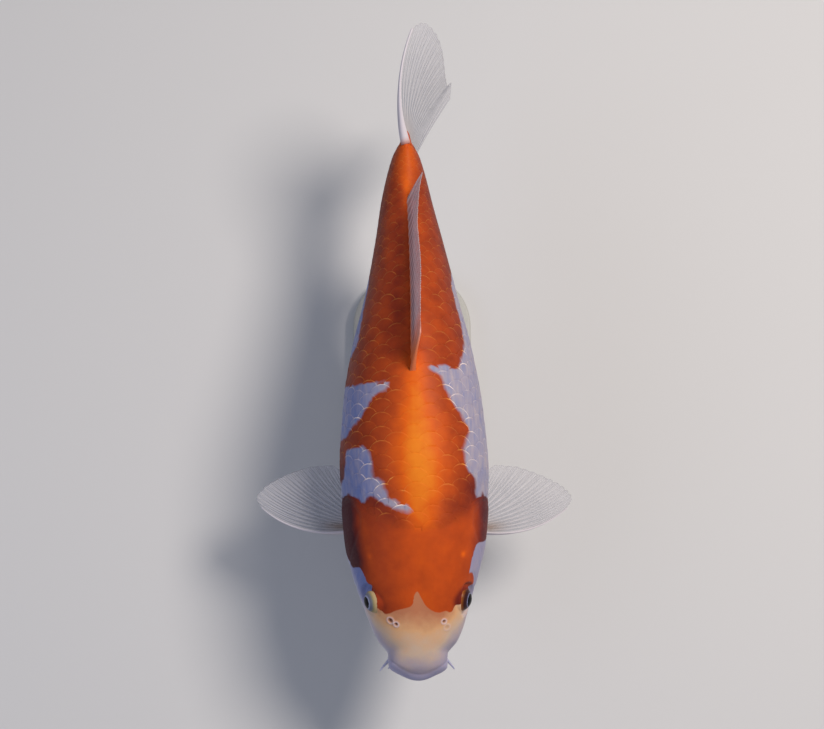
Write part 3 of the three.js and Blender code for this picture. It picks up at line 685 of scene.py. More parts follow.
# One scale, across in files and along in rows, with its height in mm. The hind edge is an arc of an ellipse.
EDGE_AT, ROOT_AT, HALF_ACROSS = 0.5, -1.25, 0.8
EDGE_LONG, EDGE_WIDE = 0.9, 0.84  # the half axes of that ellipse
ROOT_ROUND = 0.3  # how far the root's corners lie further back than its middle
SIDE_DROP = 0.1  # mm that the sides lie lower than the middle
PLATE = 0.09  # mm thick
LIFT = 0.38  # mm from the root up to the hind edge
ROOT_SUNK = 0.2  # mm from the bed down to the root
across = HALF_ACROSS * np.sin(np.linspace(1, -1, 9) * np.pi / 2)[:, None]
hind = EDGE_AT - EDGE_LONG * (1 - np.sqrt(1 - (across / EDGE_WIDE) ** 2))
root = ROOT_AT + ROOT_ROUND * (across / HALF_ACROSS) ** 2
# From the root over the top to the hind edge, and back along the underside.
share = np.array([0, 0.5, 0.8, 0.965, 1, 1, 0.8, 0.5])
underside = np.array([0, 0, 0, 0, 0, 1, 1, 1])
lift = LIFT * share - SIDE_DROP * share * (across / HALF_ACROSS) ** 2 - ROOT_SUNK * (1 - share) ** 2
plate = np.stack(np.broadcast_arrays(across, root + (hind - root) * share, lift - PLATE * underside), -1)
one_scale = closed_loft("one_scale", plate / MM)
note(one_scale, "local", np.vstack([plate.reshape(-1, 3), plate[0].mean(0), plate[-1].mean(0)]))
note(one_scale, "edge", np.append(np.tile(share, len(across)), [0.5, 0.5]))

lay = bpy.data.node_groups.new("lay_scales", "GeometryNodeTree")
sockets = {}
for name, kind in (
    ("Bed", "NodeSocketGeometry"),
    ("One scale", "NodeSocketObject"),
    ("Files round", "NodeSocketInt"),
    ("Rows along", "NodeSocketFloat"),
    ("Patch", "NodeSocketFloat"),
    ("Seed", "NodeSocketInt"),
    ("Finish", "NodeSocketMaterial"),
):
    sockets[name] = lay.interface.new_socket(name, in_out="INPUT", socket_type=kind).identifier
lay.interface.new_socket("Scales", in_out="OUTPUT", socket_type="NodeSocketGeometry")
given = add(lay, "NodeGroupInput").outputs
inputs = {0: given["Files round"], 1: given["Rows along"], 2: 1.0}
sheet = add(lay, "ShaderNodeCombineXYZ", inputs).outputs[0]


def flat_place(position):
    """A place of the lattice, in files and rows, on the bed's flat map, which closes round the belly."""
    whole = add(lay, "ShaderNodeVectorMath", {0: position, 1: sheet}, operation="DIVIDE").outputs[0]
    return add(lay, "ShaderNodeVectorMath", {0: whole}, operation="FRACTION").outputs[0]


def read_bed(kind, values, where):
    """The bed's values at a place of its flat map, and whether there is any bed there."""
    flat = add(lay, "GeometryNodeInputNamedAttribute", {0: "lattice"}, data_type="FLOAT_VECTOR").outputs[0]
    inputs = {0: given["Bed"], 1: values, 2: flat, 3: where}
    return add(lay, "GeometryNodeSampleUVSurface", inputs, data_type=kind).outputs


def keep(geometry, names, where):
    """Stores values of the bed on the points of the scales."""
    for name in names:
        held = add(lay, "GeometryNodeInputNamedAttribute", {0: name}, data_type="FLOAT").outputs[0]
        inputs = {0: geometry, "Name": name, "Value": read_bed("FLOAT", held, where)[0]}
        made = add(lay, "GeometryNodeStoreNamedAttribute", inputs, data_type="FLOAT", domain="POINT")
        geometry = made.outputs[0]
    return geometry


# A point for each scale, by file and row, with every second file half a row further back.
index = add(lay, "GeometryNodeInputIndex").outputs[0]
count = add(lay, "ShaderNodeMath", {0: given["Files round"], 1: given["Rows along"]}, operation="MULTIPLY")
file_number = add(lay, "ShaderNodeMath", {0: index, 1: given["Files round"]}, operation="FLOORED_MODULO")
row_number = add(lay, "ShaderNodeMath", {0: index, 1: given["Files round"]}, operation="DIVIDE")
row_number = add(lay, "ShaderNodeMath", {0: row_number.outputs[0]}, operation="FLOOR")
odd = add(lay, "ShaderNodeMath", {0: file_number.outputs[0], 1: 2.0}, operation="FLOORED_MODULO")
staggered = {0: odd.outputs[0], 1: 0.5, 2: row_number.outputs[0]}
row_place = add(lay, "ShaderNodeMath", staggered, operation="MULTIPLY_ADD")
spot = add(lay, "ShaderNodeCombineXYZ", {0: file_number.outputs[0], 1: row_place.outputs[0]})
points = add(lay, "GeometryNodePoints", {"Count": count.outputs[0], "Position": spot.outputs[0]})

# Those on bare skin, or off the bed, go. The rest take their size from the bed, and a tone of their own.
position = add(lay, "GeometryNodeInputPosition").outputs[0]
here = flat_place(position)
bare_here = add(lay, "GeometryNodeInputNamedAttribute", {0: "bare"}, data_type="FLOAT").outputs[0]
bare_value, on_bed = read_bed("FLOAT", bare_here, here)
hidden = add(lay, "ShaderNodeMath", {0: bare_value, 1: 0.4}, operation="GREATER_THAN")
lost = add(lay, "ShaderNodeMath", {0: 1.0, 1: on_bed}, operation="SUBTRACT")
unwanted = add(lay, "ShaderNodeMath", {0: hidden.outputs[0], 1: lost.outputs[0]}, operation="MAXIMUM")
inputs = {0: points.outputs[0], "Selection": unwanted.outputs[0]}
points = add(lay, "GeometryNodeDeleteGeometry", inputs, domain="POINT")
points = keep(points.outputs[0], ("share",), here)
tone = add(lay, "FunctionNodeRandomValue", {"Seed": given["Seed"]}, data_type="FLOAT").outputs[1]
inputs = {0: points, "Name": "tone", "Value": tone}
points = add(lay, "GeometryNodeStoreNamedAttribute", inputs, data_type="FLOAT", domain="POINT")
shape = add(lay, "GeometryNodeObjectInfo", {"Object": given["One scale"]}).outputs["Geometry"]
laid = add(lay, "GeometryNodeInstanceOnPoints", {"Points": points.outputs[0], "Instance": shape})
laid = add(lay, "GeometryNodeRealizeInstances", {0: laid.outputs[0]})

# Each scale's own small patch of the map, at its root's place on the flat bed.
local = add(lay, "GeometryNodeInputNamedAttribute", {0: "local"}, data_type="FLOAT_VECTOR").outputs[0]
root_place = add(lay, "ShaderNodeVectorMath", {0: position, 1: local}, operation="SUBTRACT")
root_flat = add(lay, "ShaderNodeVectorMath", {0: root_place.outputs[0], 1: sheet}, operation="DIVIDE")
patch = add(lay, "ShaderNodeVectorMath", {0: local, "Scale": given["Patch"]}, operation="SCALE")
own = add(lay, "ShaderNodeVectorMath", {0: root_flat.outputs[0], 1: patch.outputs[0]}, operation="ADD")
inputs = {0: laid.outputs[0], "Name": "OFBake", "Value": own.outputs[0]}
laid = add(lay, "GeometryNodeStoreNamedAttribute", inputs, data_type="FLOAT2", domain="CORNER")

# The flat scales are wrapped onto the bed, each point at its height above it, and take its markings.
here = flat_place(position)
laid = keep(laid.outputs[0], ("red", "orange", "warmth", "glint", "pale", "calm"), here)
lie = add(lay, "GeometryNodeInputNamedAttribute", {0: "lie"}, data_type="FLOAT_VECTOR").outputs[0]
share = add(lay, "GeometryNodeInputNamedAttribute", {0: "share"}, data_type="FLOAT").outputs[0]
share = add(lay, "ShaderNodeMath", {0: share, 1: MM}, operation="MULTIPLY").outputs[0]
height = add(lay, "ShaderNodeSeparateXYZ", {0: position}).outputs[2]
height = add(lay, "ShaderNodeMath", {0: height, 1: share}, operation="MULTIPLY").outputs[0]
inputs = {0: read_bed("FLOAT_VECTOR", lie, here)[0], "Scale": height}
rise = add(lay, "ShaderNodeVectorMath", inputs, operation="SCALE").outputs[0]
ground = read_bed("FLOAT_VECTOR", add(lay, "GeometryNodeInputPosition").outputs[0], here)[0]
there = add(lay, "ShaderNodeVectorMath", {0: ground, 1: rise}, operation="ADD").outputs[0]
laid = add(lay, "GeometryNodeSetPosition", {0: laid, "Position": there}).outputs[0]
laid = add(lay, "GeometryNodeSetMaterial", {0: laid, "Material": given["Finish"]}).outputs[0]
add(lay, "NodeGroupOutput", {0: laid})

# Scale: a clear bony plate over pigment, softly glassy when wet. Its free rim is a thin pale line, and on
# some scales a painted glint makes it bright. Growth rings, really 0.1 mm apart, are drawn 1.2 mm apart so
# that they show.
STREAK_MM, PATCHY_MM = 3, 7
scale_plate, tree, shader = new_material("wet_scale_plate", WET | FLESH | {"Roughness": 0.46})
place_on = add(tree, "ShaderNodeTexCoord").outputs["Object"]
scale_notes = ("red", "orange", "warmth", "glint", "pale", "calm", "tone", "edge")
value = {key: add(tree, "ShaderNodeAttribute", attribute_name=key).outputs["Fac"] for key in scale_notes}
local = add(tree, "ShaderNodeAttribute", attribute_name="local").outputs["Vector"]
cloud = add(tree, "ShaderNodeTexNoise", {"Vector": place_on, "Scale": 1 / (CLOUD_MM * MM), "Detail": 5})
cloudy = add(tree, "ShaderNodeMath", {0: cloud.outputs[0], 1: 0.5}, operation="SUBTRACT").outputs[0]
own_tone = add(tree, "ShaderNodeMath", {0: value["tone"], 1: 0.5}, operation="SUBTRACT").outputs[0]
inputs = {0: own_tone, 1: 0.08, 2: cloudy}
mottle = add(tree, "ShaderNodeMath", inputs, operation="MULTIPLY_ADD").outputs[0]
orange = add(tree, "ShaderNodeMath", {0: mottle, 1: 0.3, 2: value["orange"]}, operation="MULTIPLY_ADD")
warmth = add(tree, "ShaderNodeMath", {0: mottle, 1: 0.25, 2: value["warmth"]}, operation="MULTIPLY_ADD")
red = add(tree, "ShaderNodeValToRGB", {0: orange.outputs[0]}, KOI_REDS).outputs[0]
# The white is drawn out in soft streaks along the body, lighter and darker.
drawn_out = add(tree, "ShaderNodeMapping", {"Vector": place_on, "Scale": (1, 0.18, 1)}).outputs[0]
inputs = {"Vector": drawn_out, "Scale": 1 / (STREAK_MM * MM), "Detail": 3}
streak = add(tree, "ShaderNodeTexNoise", inputs).outputs[0]
streaky = add(tree, "ShaderNodeMath", {0: streak, 1: 0.5, 2: -0.25}, operation="MULTIPLY_ADD").outputs[0]
warmth = add(tree, "ShaderNodeMath", {0: warmth.outputs[0], 1: streaky}, operation="ADD").outputs[0]
white = add(tree, "ShaderNodeValToRGB", {0: warmth}, KOI_WHITES).outputs[0]
paled = add(tree, "ShaderNodeMath", {0: value["pale"], 1: PALE_SHARE}, operation="MULTIPLY").outputs[0]
white = add(tree, "ShaderNodeMix", {0: paled, 6: white, 7: BELLY_WHITE}, data_type="RGBA").outputs[2]
# The border of the red wanders by the cloud.
inputs = {0: cloudy, 1: 0.9, 2: value["red"]}
wander = add(tree, "ShaderNodeMath", inputs, operation="MULTIPLY_ADD").outputs[0]
border = add(tree, "ShaderNodeMapRange", {"Value": wander, "From Min": 0.3, "From Max": 0.7}).outputs[0]
colour = add(tree, "ShaderNodeMix", {0: border, 6: white, 7: red}, data_type="RGBA").outputs[2]
# The rim is a thin pale line that comes and goes, partly the scale's own pale edge and partly a painted
# glint. The painted glint is brightest in the white along the red, and the rim fades out on the ridge and at
# the nape.
inputs = {"Value": value["edge"], "From Min": 0.94, "From Max": 0.985}
rim = add(tree, "ShaderNodeMapRange", inputs).outputs[0]
inputs = {"Vector": place_on, "Scale": 1 / (PATCHY_MM * MM), "Detail": 2}
patchy = add(tree, "ShaderNodeTexNoise", inputs).outputs[0]
patchy = add(tree, "ShaderNodeMapRange", {"Value": patchy, "From Min": 0.38, "From Max": 0.66}).outputs[0]
# The glint note adds painted glints to the rim's own faint brightness.
inputs = {0: value["glint"], 1: 1.2, 2: 0.38}
bright = add(tree, "ShaderNodeMath", inputs, operation="MULTIPLY_ADD").outputs[0]
bright = add(tree, "ShaderNodeMath", {0: bright, 1: patchy}, operation="MULTIPLY").outputs[0]
lively = add(tree, "ShaderNodeMath", {0: 1.0, 1: value["calm"]}, operation="SUBTRACT", use_clamp=True)
bright = add(tree, "ShaderNodeMath", {0: bright, 1: lively.outputs[0]}, operation="MULTIPLY").outputs[0]
rim = add(tree, "ShaderNodeMath", {0: rim, 1: bright}, operation="MULTIPLY").outputs[0]
# The rim's colour, near white in the white and light orange in the red, serves the pale edge and the painted
# glint alike.
inputs = {0: border, 6: srgb("#efdcd8"), 7: srgb("#ee9c4c")}
rim_colour = add(tree, "ShaderNodeMix", inputs, data_type="RGBA").outputs[2]
colour = add(tree, "ShaderNodeMix", {0: rim, 6: colour, 7: rim_colour}, data_type="RGBA").outputs[2]
inputs = {"Vector": local, "Scale": 2.4, "Distortion": 0.6, "Detail": 1}
rings = add(tree, "ShaderNodeTexWave", inputs, wave_type="RINGS", rings_direction="Z").outputs["Fac"]
ring_bump = add(tree, "ShaderNodeBump", {"Strength": 0.15, "Distance": 0.1 * MM, "Height": rings})
tree.links.new(colour, shader.inputs["Base Color"])
tree.links.new(ring_bump.outputs[0], shader.inputs["Normal"])

PATCH = 0.003  # how wide each scale's patch of the map is, for one file or row
laying = scales.modifiers.new("lay", "NODES")
laying.node_group = lay
for name, chosen in (
    ("One scale", one_scale),
    ("Files round", FILES_ROUND),
    ("Rows along", ROWS_ALONG),
    ("Patch", PATCH),
    ("Seed", 7),
    ("Finish", scale_plate),
):
    laying[sockets[name]] = chosen
bpy.context.view_layer.update()
evaluated = scales.evaluated_get(bpy.context.evaluated_depsgraph_get())
laid_mesh = bpy.data.meshes.new_from_object(evaluated)
scales.modifiers.clear()
bed_mesh = scales.data
scales.data = laid_mesh
bpy.data.meshes.remove(bed_mesh)
bpy.data.objects.remove(one_scale)
laid_mesh.name = "scales"
laid_mesh.shade_smooth()
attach(scales, "root")

# ---------------------------------------------------------------- eyes
# Each eye is a ball in its socket, domed over a round black pupil with a thin pale ring. The iris round it
# is a streaky grey that turns olive on the fish's right eye, and dark under the red on its left.

# Eyeball: a clear wet cornea over the iris, with a soft shine. The colours run in rings from the pupil, and
# flecks of pigment blur their borders.
PUPIL_MM, RING_MM, IRIS_MM = 3.9, 4.5, 12  # along the ball from its line of sight
eyeball, tree, shader = new_material("wet_cornea_over_iris", {"Roughness": 0.3, "Specular IOR Level": 0.1})
eye_notes = ("off_axis", "dusky")
value = {key: add(tree, "ShaderNodeAttribute", attribute_name=key).outputs["Fac"] for key in eye_notes}
place_on = add(tree, "ShaderNodeTexCoord").outputs["Object"]
fleck = add(tree, "ShaderNodeTexNoise", {"Vector": place_on, "Scale": 1 / (1.3 * MM), "Detail": 4})
wander = add(tree, "ShaderNodeMath", {0: fleck.outputs[0], 1: 0.8, 2: -0.4}, operation="MULTIPLY_ADD")
spread = add(tree, "ShaderNodeMath", {0: value["off_axis"], 1: wander.outputs[0]}, operation="ADD")
spread = add(tree, "ShaderNodeMath", {0: spread.outputs[0], 1: IRIS_MM}, operation="DIVIDE").outputs[0]
EYE_CENTRE = ((0.0, "#040406"), (PUPIL_MM / IRIS_MM - 0.01, "#050508"))
OLIVE_IRIS = EYE_CENTRE + (
    (PUPIL_MM / IRIS_MM + 0.02, "#9ba1c2"),
    (RING_MM / IRIS_MM, "#8a8fae"),
    (0.44, "#5f6577"), (0.54, "#6f7078"), (0.62, "#8f8560"), (0.72, "#b39a74"),
)
DUSKY_IRIS = EYE_CENTRE + (
    (PUPIL_MM / IRIS_MM + 0.01, "#8c92ba"),
    (RING_MM / IRIS_MM - 0.02, "#5a5268"),
    (0.4, "#33222a"), (0.52, "#3a1c1a"), (0.62, "#7a431c"), (0.72, "#a8602a"),
)
olive, dusky = (add(tree, "ShaderNodeValToRGB", {0: spread}, iris) for iris in (OLIVE_IRIS, DUSKY_IRIS))
inputs = {0: value["dusky"], 6: olive.outputs[0], 7: dusky.outputs[0]}
colour = add(tree, "ShaderNodeMix", inputs, data_type="RGBA").outputs[2]
tree.links.new(colour, shader.inputs["Base Color"])

# The eyes look up a little, the right one more. The left one's pupil is wider.
CORNEA_MM = 0.15  # how far the dome stands out
for side, name, look_up, pupil in ((1, "left", 0.27, 1.15), (-1, "right", 0.367, 1)):
    low, high = (np.array(corner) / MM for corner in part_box(f"eye_{name}"))
    centre = (low + high) / 2
    gaze = np.array([side * GAZE[1], GAZE[0] + HEAD_TURN * side, look_up])
    gaze /= np.linalg.norm(gaze)
    across_1 = np.cross(gaze, [0, 0, 1])
    across_1 /= np.linalg.norm(across_1)
    across_2 = np.cross(gaze, across_1)
    # Rings from the line of sight to the back of the ball, closer together on the side that shows.
    polar = np.concatenate([np.linspace(0.02, 1.4, 50), np.linspace(1.45, 3.1, 20)])[:, None, None]
    around = np.linspace(0, 2 * np.pi, 64, endpoint=False)[None, :, None]
    dome = EYE_RADIUS - CORNEA_MM + CORNEA_MM * bump(polar, 0.55)
    sideways = np.cos(around) * across_1 + np.sin(around) * across_2
    ball = centre + dome * (np.cos(polar) * gaze + np.sin(polar) * sideways)
    eye = closed_loft(f"eyeball_{name}", ball[::-1])
    arc = np.broadcast_to(EYE_RADIUS / pupil * polar[::-1, :, 0], ball.shape[:2])
    note(eye, "off_axis", np.concatenate([arc.ravel(), [arc[0, 0], arc[-1, 0]]]))
    note(eye, "dusky", np.full(arc.size + 2, float(side > 0)))
    eye.data.materials.append(eyeball)
    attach(eye, "root")
    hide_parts(f"eye_{name}")

# ---------------------------------------------------------------- barbels
# Two pairs of soft feelers, one at the corners of the mouth and one on the upper lip, each a round tapering
# stem of bare skin that swells a little where it grows out of the lip.

# Three points of a curve: behind the lip, out and up. Then the radius at the root and near the tip.
BARBELS = {
    "corner": ([(16, 16.8, -12.5), (12.5, 20.6, -14), (8.2, 24.2, -17)], 1.25, 0.4),
    "lip": ([(11.5, 14.5, -7), (10.6, 18.6, -9), (9, 18.8, -13.5)], 0.8, 0.35),
}
# Feeler: soft moist skin without scales, which lets some light through, in faint clouds.
soft = {"Subsurface Weight": 0.3, "Subsurface Radius": (1.0, 0.5, 0.3), "Subsurface Scale": 1 * MM}
finish = {"Roughness": 0.4, "Specular IOR Level": 0.35}
bare_feeler, tree, shader = new_material("soft_feeler_skin", finish | soft)
place_on = add(tree, "ShaderNodeTexCoord").outputs["Object"]
cloud = add(tree, "ShaderNodeTexNoise", {"Vector": place_on, "Scale": 1 / (3 * MM), "Detail": 3})
inputs = {0: cloud.outputs[0], 6: srgb("#9095bd"), 7: srgb("#bdbcd3")}
colour = add(tree, "ShaderNodeMix", inputs, data_type="RGBA").outputs[2]
inputs = {"Strength": 0.3, "Distance": 0.2 * MM, "Height": cloud.outputs[0]}
feeler_bump = add(tree, "ShaderNodeBump", inputs)
tree.links.new(colour, shader.inputs["Base Color"])
tree.links.new(feeler_bump.outputs[0], shader.inputs["Normal"])


def stem(line, radii, sides=24):
    """Rings of a round stem along points, with a radius for each."""
    forward = np.gradient(line, axis=0)
    forward /= np.linalg.norm(forward, axis=1, keepdims=True)
    first = np.cross(forward, [0.2, 0.3, 1.0])
    first /= np.linalg.norm(first, axis=1, keepdims=True)
    second = np.cross(forward, first)
    turn = np.linspace(0, 2 * np.pi, sides, endpoint=False)[None, :, None]
    ring = np.cos(turn) * first[:, None] + np.sin(turn) * second[:, None]
    return line[:, None] + radii[:, None, None] * ring


for kind, (curve_points, thick, thin) in BARBELS.items():
    for side, name in ((1, "left"), (-1, "right")):
        a, b, c = (place(p[0] + HEAD_TURN * side * p[1], side * p[1], p[2]) for p in curve_points)
        t = np.linspace(0, 1, 32)[:, None]
        line = a * (1 - t) ** 2 + 2 * b * t * (1 - t) + c * t * t
        t = t[:, 0]
        # The last rings shrink, which rounds the tip.
        radii = (thick + (thin - thick) * t) * np.sqrt(1 - step(t, 0.93, 1) * 0.97)
        radii *= 1 + 0.35 * bump(t, 0.16)
        feeler = closed_loft(f"feeler_{kind}_{name}", stem(line, radii))
        feeler.data.materials.append(bare_feeler)
        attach(feeler, "root")
        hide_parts(f"barbel_{kind}_{name}")

# ---------------------------------------------------------------- fins
# Fans of bony rays with thin clear skin stretched between them. The rays branch twice on their way to the
# margin, the skin sags a little between them, and each fin is one closed sheet that thins from its root.


def fin_lines(fin, u, v):
    """Points of a fin in the frame: u from the leading ray to the last, v from root to margin."""
    root, tip, sweep = (np.stack(np.broadcast_arrays(*fin[key](u)), -1) for key in ("root", "tip", "sweep"))
    middle = (root + tip) / 2 + sweep
    v = v[..., None]
    p = root * (1 - v) ** 2 + 2 * middle * v * (1 - v) + tip * v * v
    return place(p[..., 0], p[..., 1], p[..., 2])


def margin_through(points):
    """A smooth line through evenly spaced points of fish coordinates."""
    share = np.linspace(0, 1, len(points))
    curves = [smooth_through(list(zip(share, column))) for column in np.array(points, float).T]
    return lambda u: [curve(u) for curve in curves]


FILM_MM = 0.4  # the film's thickness toward the margin
JOINT_MM = 1.6  # from one joint of a ray to the next, really about half that
FIN_NOTES = ("ray", "out", "lead", "joint", "stain", "orange")


def sheet_of_rays(name, fin, rays, rows=56, per_ray=14):
    """Builds a fin, with notes for its material: ray and lead are 1 on a ray and on the leading edge, out
    runs from 0 at the root to 1 at the margin, joint counts a ray's joints, and stain and orange the red."""
    columns = rays * per_ray + 1
    u, v = np.meshgrid(np.linspace(0, 1, columns), np.linspace(0, 1, rows) ** 0.85, indexing="ij")
    spot = (u * rays) % 1 - 0.5
    # Each ray parts in two, and each half in two again.
    fork_1, fork_2 = step(v, 0.3, 0.75), step(v, 0.62, 1)
    ray = np.zeros_like(u)
    for first in (-1, 1):
        for second in (-1, 1):
            centre = first * 0.24 * fork_1 + second * 0.12 * fork_2
            ray = np.maximum(ray, bump(spot - centre, 0.19 - 0.1 * v))
    lead = bump(u, 0.45 / rays) * fin.get("lead", 1)
    ray = np.maximum(ray, lead)
    torn = fin["scallop"] * (1 - np.cos(2 * np.pi * u * rays)) / 2
    reach = v * (1 - torn * v**6)
    points = fin_lines(fin, u, reach)
    gone = np.linalg.norm(np.diff(points, axis=1, prepend=points[:, :1]), axis=-1).cumsum(axis=1)
    along_u, along_v = np.gradient(points, axis=0), np.gradient(points, axis=1)
    normal = np.cross(along_u, along_v)
    normal /= np.maximum(np.linalg.norm(normal, axis=-1, keepdims=True), 1e-9)
    pleat = fin["pleat"] * np.cos(2 * np.pi * u * rays + np.pi) * step(v, 0.05, 0.6)
    wave = fin["wave"] * np.sin(2 * np.pi * (1.3 * u + 0.6 * v)) * v**2
    points = points + normal * (pleat + wave)[..., None]
    web = fin["root_mm"] + (FILM_MM - fin["root_mm"]) * step(v**0.7, 0, 0.75)
    thick = web + ray * (0.6 - 0.4 * v) + lead * 0.8 * (1 - 0.6 * v)
    faces_up = points + normal * (thick / 2)[..., None]
    faces_down = points - normal * (thick / 2)[..., None]
    count = u.size
    i, j = np.mgrid[0 : columns - 1, 0 : rows - 1]
    a = (i * rows + j).ravel()
    top = np.stack([a, a + rows, a + rows + 1, a + 1], -1)
    bottom = np.stack([a, a + 1, a + rows + 1, a + rows], -1) + count
    root_row, margin_row = np.arange(columns) * rows, np.arange(columns) * rows + rows - 1
    last_ray, first_ray = (columns - 1) * rows + np.arange(1, rows), np.arange(rows - 2, 0, -1)
    ring = np.concatenate([root_row, last_ray, margin_row[-2::-1], first_ray])
    after = np.roll(ring, -1)
    walls = np.stack([ring, ring + count, after + count, after], -1)
    both = np.vstack([faces_up.reshape(-1, 3), faces_down.reshape(-1, 3)])
    piece = new_piece(name, both, np.vstack([top, bottom, walls]).tolist())
    stain, orange = fin["stain"](u, v)
    for key, values in zip(FIN_NOTES, (ray, v, lead, gone / JOINT_MM, stain, orange + 0 * u)):
        note(piece, key, np.tile(values.ravel(), 2))
    return piece


FIN_SUNK = 2.5  # how deep a fin's root stands in the body
DORSAL_FROM, DORSAL_TO = 186, 311
# How long the dorsal fin's rays are, how steeply they rise, and how far their tips lean to the fish's left.
dorsal_length = smooth_through([(0, 33), (0.1, 40), (0.35, 33), (0.7, 25), (1, 20)])
dorsal_rise = smooth_through([(0, 0.95), (0.4, 0.72), (1, 0.52)])
dorsal_lean = smooth_through([(0, 5.5), (0.3, 6), (0.6, 5), (0.85, 8), (1, 11)])


def dorsal_root(u):
    """Where the dorsal fin's rays grow out of the back."""
    at = DORSAL_FROM + (DORSAL_TO - DORSAL_FROM) * u
    return at, 0 * u, back_line(at) - FIN_SUNK


def dorsal_tip(u):
    at, _, up = dorsal_root(u)
    length, rise = dorsal_length(u), dorsal_rise(u)
    return at + length * np.cos(rise), dorsal_lean(u), up + length * np.sin(rise)


tail_margin = margin_through(
    [
        (423, 4, 50), (428, 12, 48.5), (423.5, 20.5, 40), (415, 25, 25), (408, 26.5, 8),
        (407, 28, -7), (413, 30, -22), (419.5, 32, -36), (411, 31, -44),
    ]
)
anal_length = smooth_through([(0, 38), (0.15, 43), (0.5, 34), (1, 22)])


def anal_root(u):
    at = 272 + 27 * u
    return at, 0 * u, belly_line(at) + FIN_SUNK


def anal_tip(u):
    at, _, up = anal_root(u)
    slope = 0.82 + (0.5 - 0.82) * u
    return at + anal_length(u) * np.cos(slope), 4 + 2 * u, up - anal_length(u) * np.sin(slope)


pectoral_margin = margin_through(
    [
        (118.5, 101.5, -40.5), (125.5, 105, -41.5), (132, 101, -42), (138, 92, -42),
        (143.5, 79.5, -42), (147, 67, -41.5), (147.5, 55.5, -40), (140.5, 45, -37),
    ]
)
pelvic_margin = margin_through(
    [
        (218, 31, -70), (226, 30, -69.5), (226, 24, -67), (221, 16.5, -64), (213, 10.5, -60.5),
    ]
)


def mirrored(margin, side):
    """A paired fin's margin on one side of the fish: 1 is its left and -1 its right."""

    def tip(u):
        at, out, up = margin(u)
        return at, side * out, up

    return tip


def pectoral(side):
    return {
        "root": lambda u: (101.5 + 10.5 * u, side * (33.5 + 1.5 * u), -29.5 - 5.5 * u),
        "tip": mirrored(pectoral_margin, side),
        "sweep": lambda u: (-1 - 15.5 * (1 - u) ** 1.5, side * 8.5 * (1 - u) ** 1.5, 2.2 + 0 * u),
        "root_mm": 4.2, "pleat": 0.18, "wave": 0.3, "scallop": 0.01, "lead": 1.4,
        "stain": lambda u, v: (0.75 * bump(u - 0.17, 0.12) * bump(v - 0.16, 0.16), 0.05),
    }


def pelvic(side):
    return {
        "root": lambda u: (178 + 6.5 * u, side * (17.5 - 6.5 * u), -50.5 - 1.5 * u),
        "tip": mirrored(pelvic_margin, side),
        "sweep": lambda u: (-3 * (1 - u), side * 3.5 * (1 - u), 0.5 + 0 * u),
        "root_mm": 3.6, "pleat": 0.18, "wave": 0.2, "scallop": 0.014,
        "stain": lambda u, v: (0 * u, 0),
    }


# Each fin has its lines of root and margin and how far its rays sweep off a straight way. Then come its
# thickness at the root, the depth of its folds between rays, its waves, how far the margin draws in between
# rays, how thick its leading edge is, where it is stained and how orange, and last its number of rays.
FINS = {
    "dorsal_fin": (
        {
            "root": dorsal_root,
            "tip": dorsal_tip,
            "sweep": lambda u: (-1.5 + 0 * u, -0.2 * dorsal_lean(u), 1.5 + 0 * u),
            "root_mm": 2.4, "pleat": 0.15, "wave": 0.3, "scallop": 0.015, "lead": 1.2,
            "stain": lambda u, v: (1 - step(u + 0.12 * v, 0.06, 0.24) * step(v, 0.08, 0.2), 0.9),
        },
        20,
    ),
    "tail_fin": (
        {
            "root": lambda u: (352 + 4 * np.sin(np.pi * u), 0 * u, 23 * (1 - 2 * u)),
            "tip": tail_margin,
            "sweep": lambda u: (0 * u, 11 * u - 12.5, 5.5 * (1 - 2 * u)),
            "root_mm": 4.6, "pleat": 0.15, "wave": 0.3, "scallop": 0.01, "lead": 1.2,
            "stain": lambda u, v: (0.8 - 0.8 * step(v, 0.01, 0.05), 0.6),
        },
        20,
    ),
    "anal_fin": (
        {
            "root": anal_root,
            "tip": anal_tip,
            "sweep": lambda u: (-1.5 + 0 * u, 0 * u, -1.5 + 0 * u),
            "root_mm": 2.4, "pleat": 0.2, "wave": 0.15, "scallop": 0.02,
            "stain": lambda u, v: (0 * u, 0),
        },
        7,
    ),
    "pectoral_fin_left": (pectoral(1), 16),
    "pectoral_fin_right": (pectoral(-1), 16),
    "pelvic_fin_left": (pelvic(1), 9),
    "pelvic_fin_right": (pelvic(-1), 9),
}

# Fin skin: a clear wet film on pale bony rays. It is fleshy and close to opaque at the root and along the
# leading edge, and thins to a faint veil at the margin. A ray's joints are fine steps across it.
fin_film, tree, shader = new_material("clear_fin_film_on_rays", WET | {"Roughness": 0.38})
place_on = add(tree, "ShaderNodeTexCoord").outputs["Object"]
value = {key: add(tree, "ShaderNodeAttribute", attribute_name=key).outputs["Fac"] for key in FIN_NOTES}
cloud = add(tree, "ShaderNodeTexNoise", {"Vector": place_on, "Scale": 1 / (8 * MM), "Detail": 4}).outputs[0]
film = add(tree, "ShaderNodeMix", {0: cloud, 6: srgb("#9599a8"), 7: srgb("#b1b2bd")}, data_type="RGBA")
inputs = {"Value": value["out"], "From Min": 0.34, "From Max": 0.08}
fleshy = add(tree, "ShaderNodeMapRange", inputs).outputs[0]
FIN_STAINS = ((0, "#75552f"), (0.4, "#9c5a2c"), (0.7, "#cf5a1a"), (1, "#e8782a"))
red = add(tree, "ShaderNodeValToRGB", {0: value["orange"]}, FIN_STAINS).outputs[0]
colour = film.outputs[2]
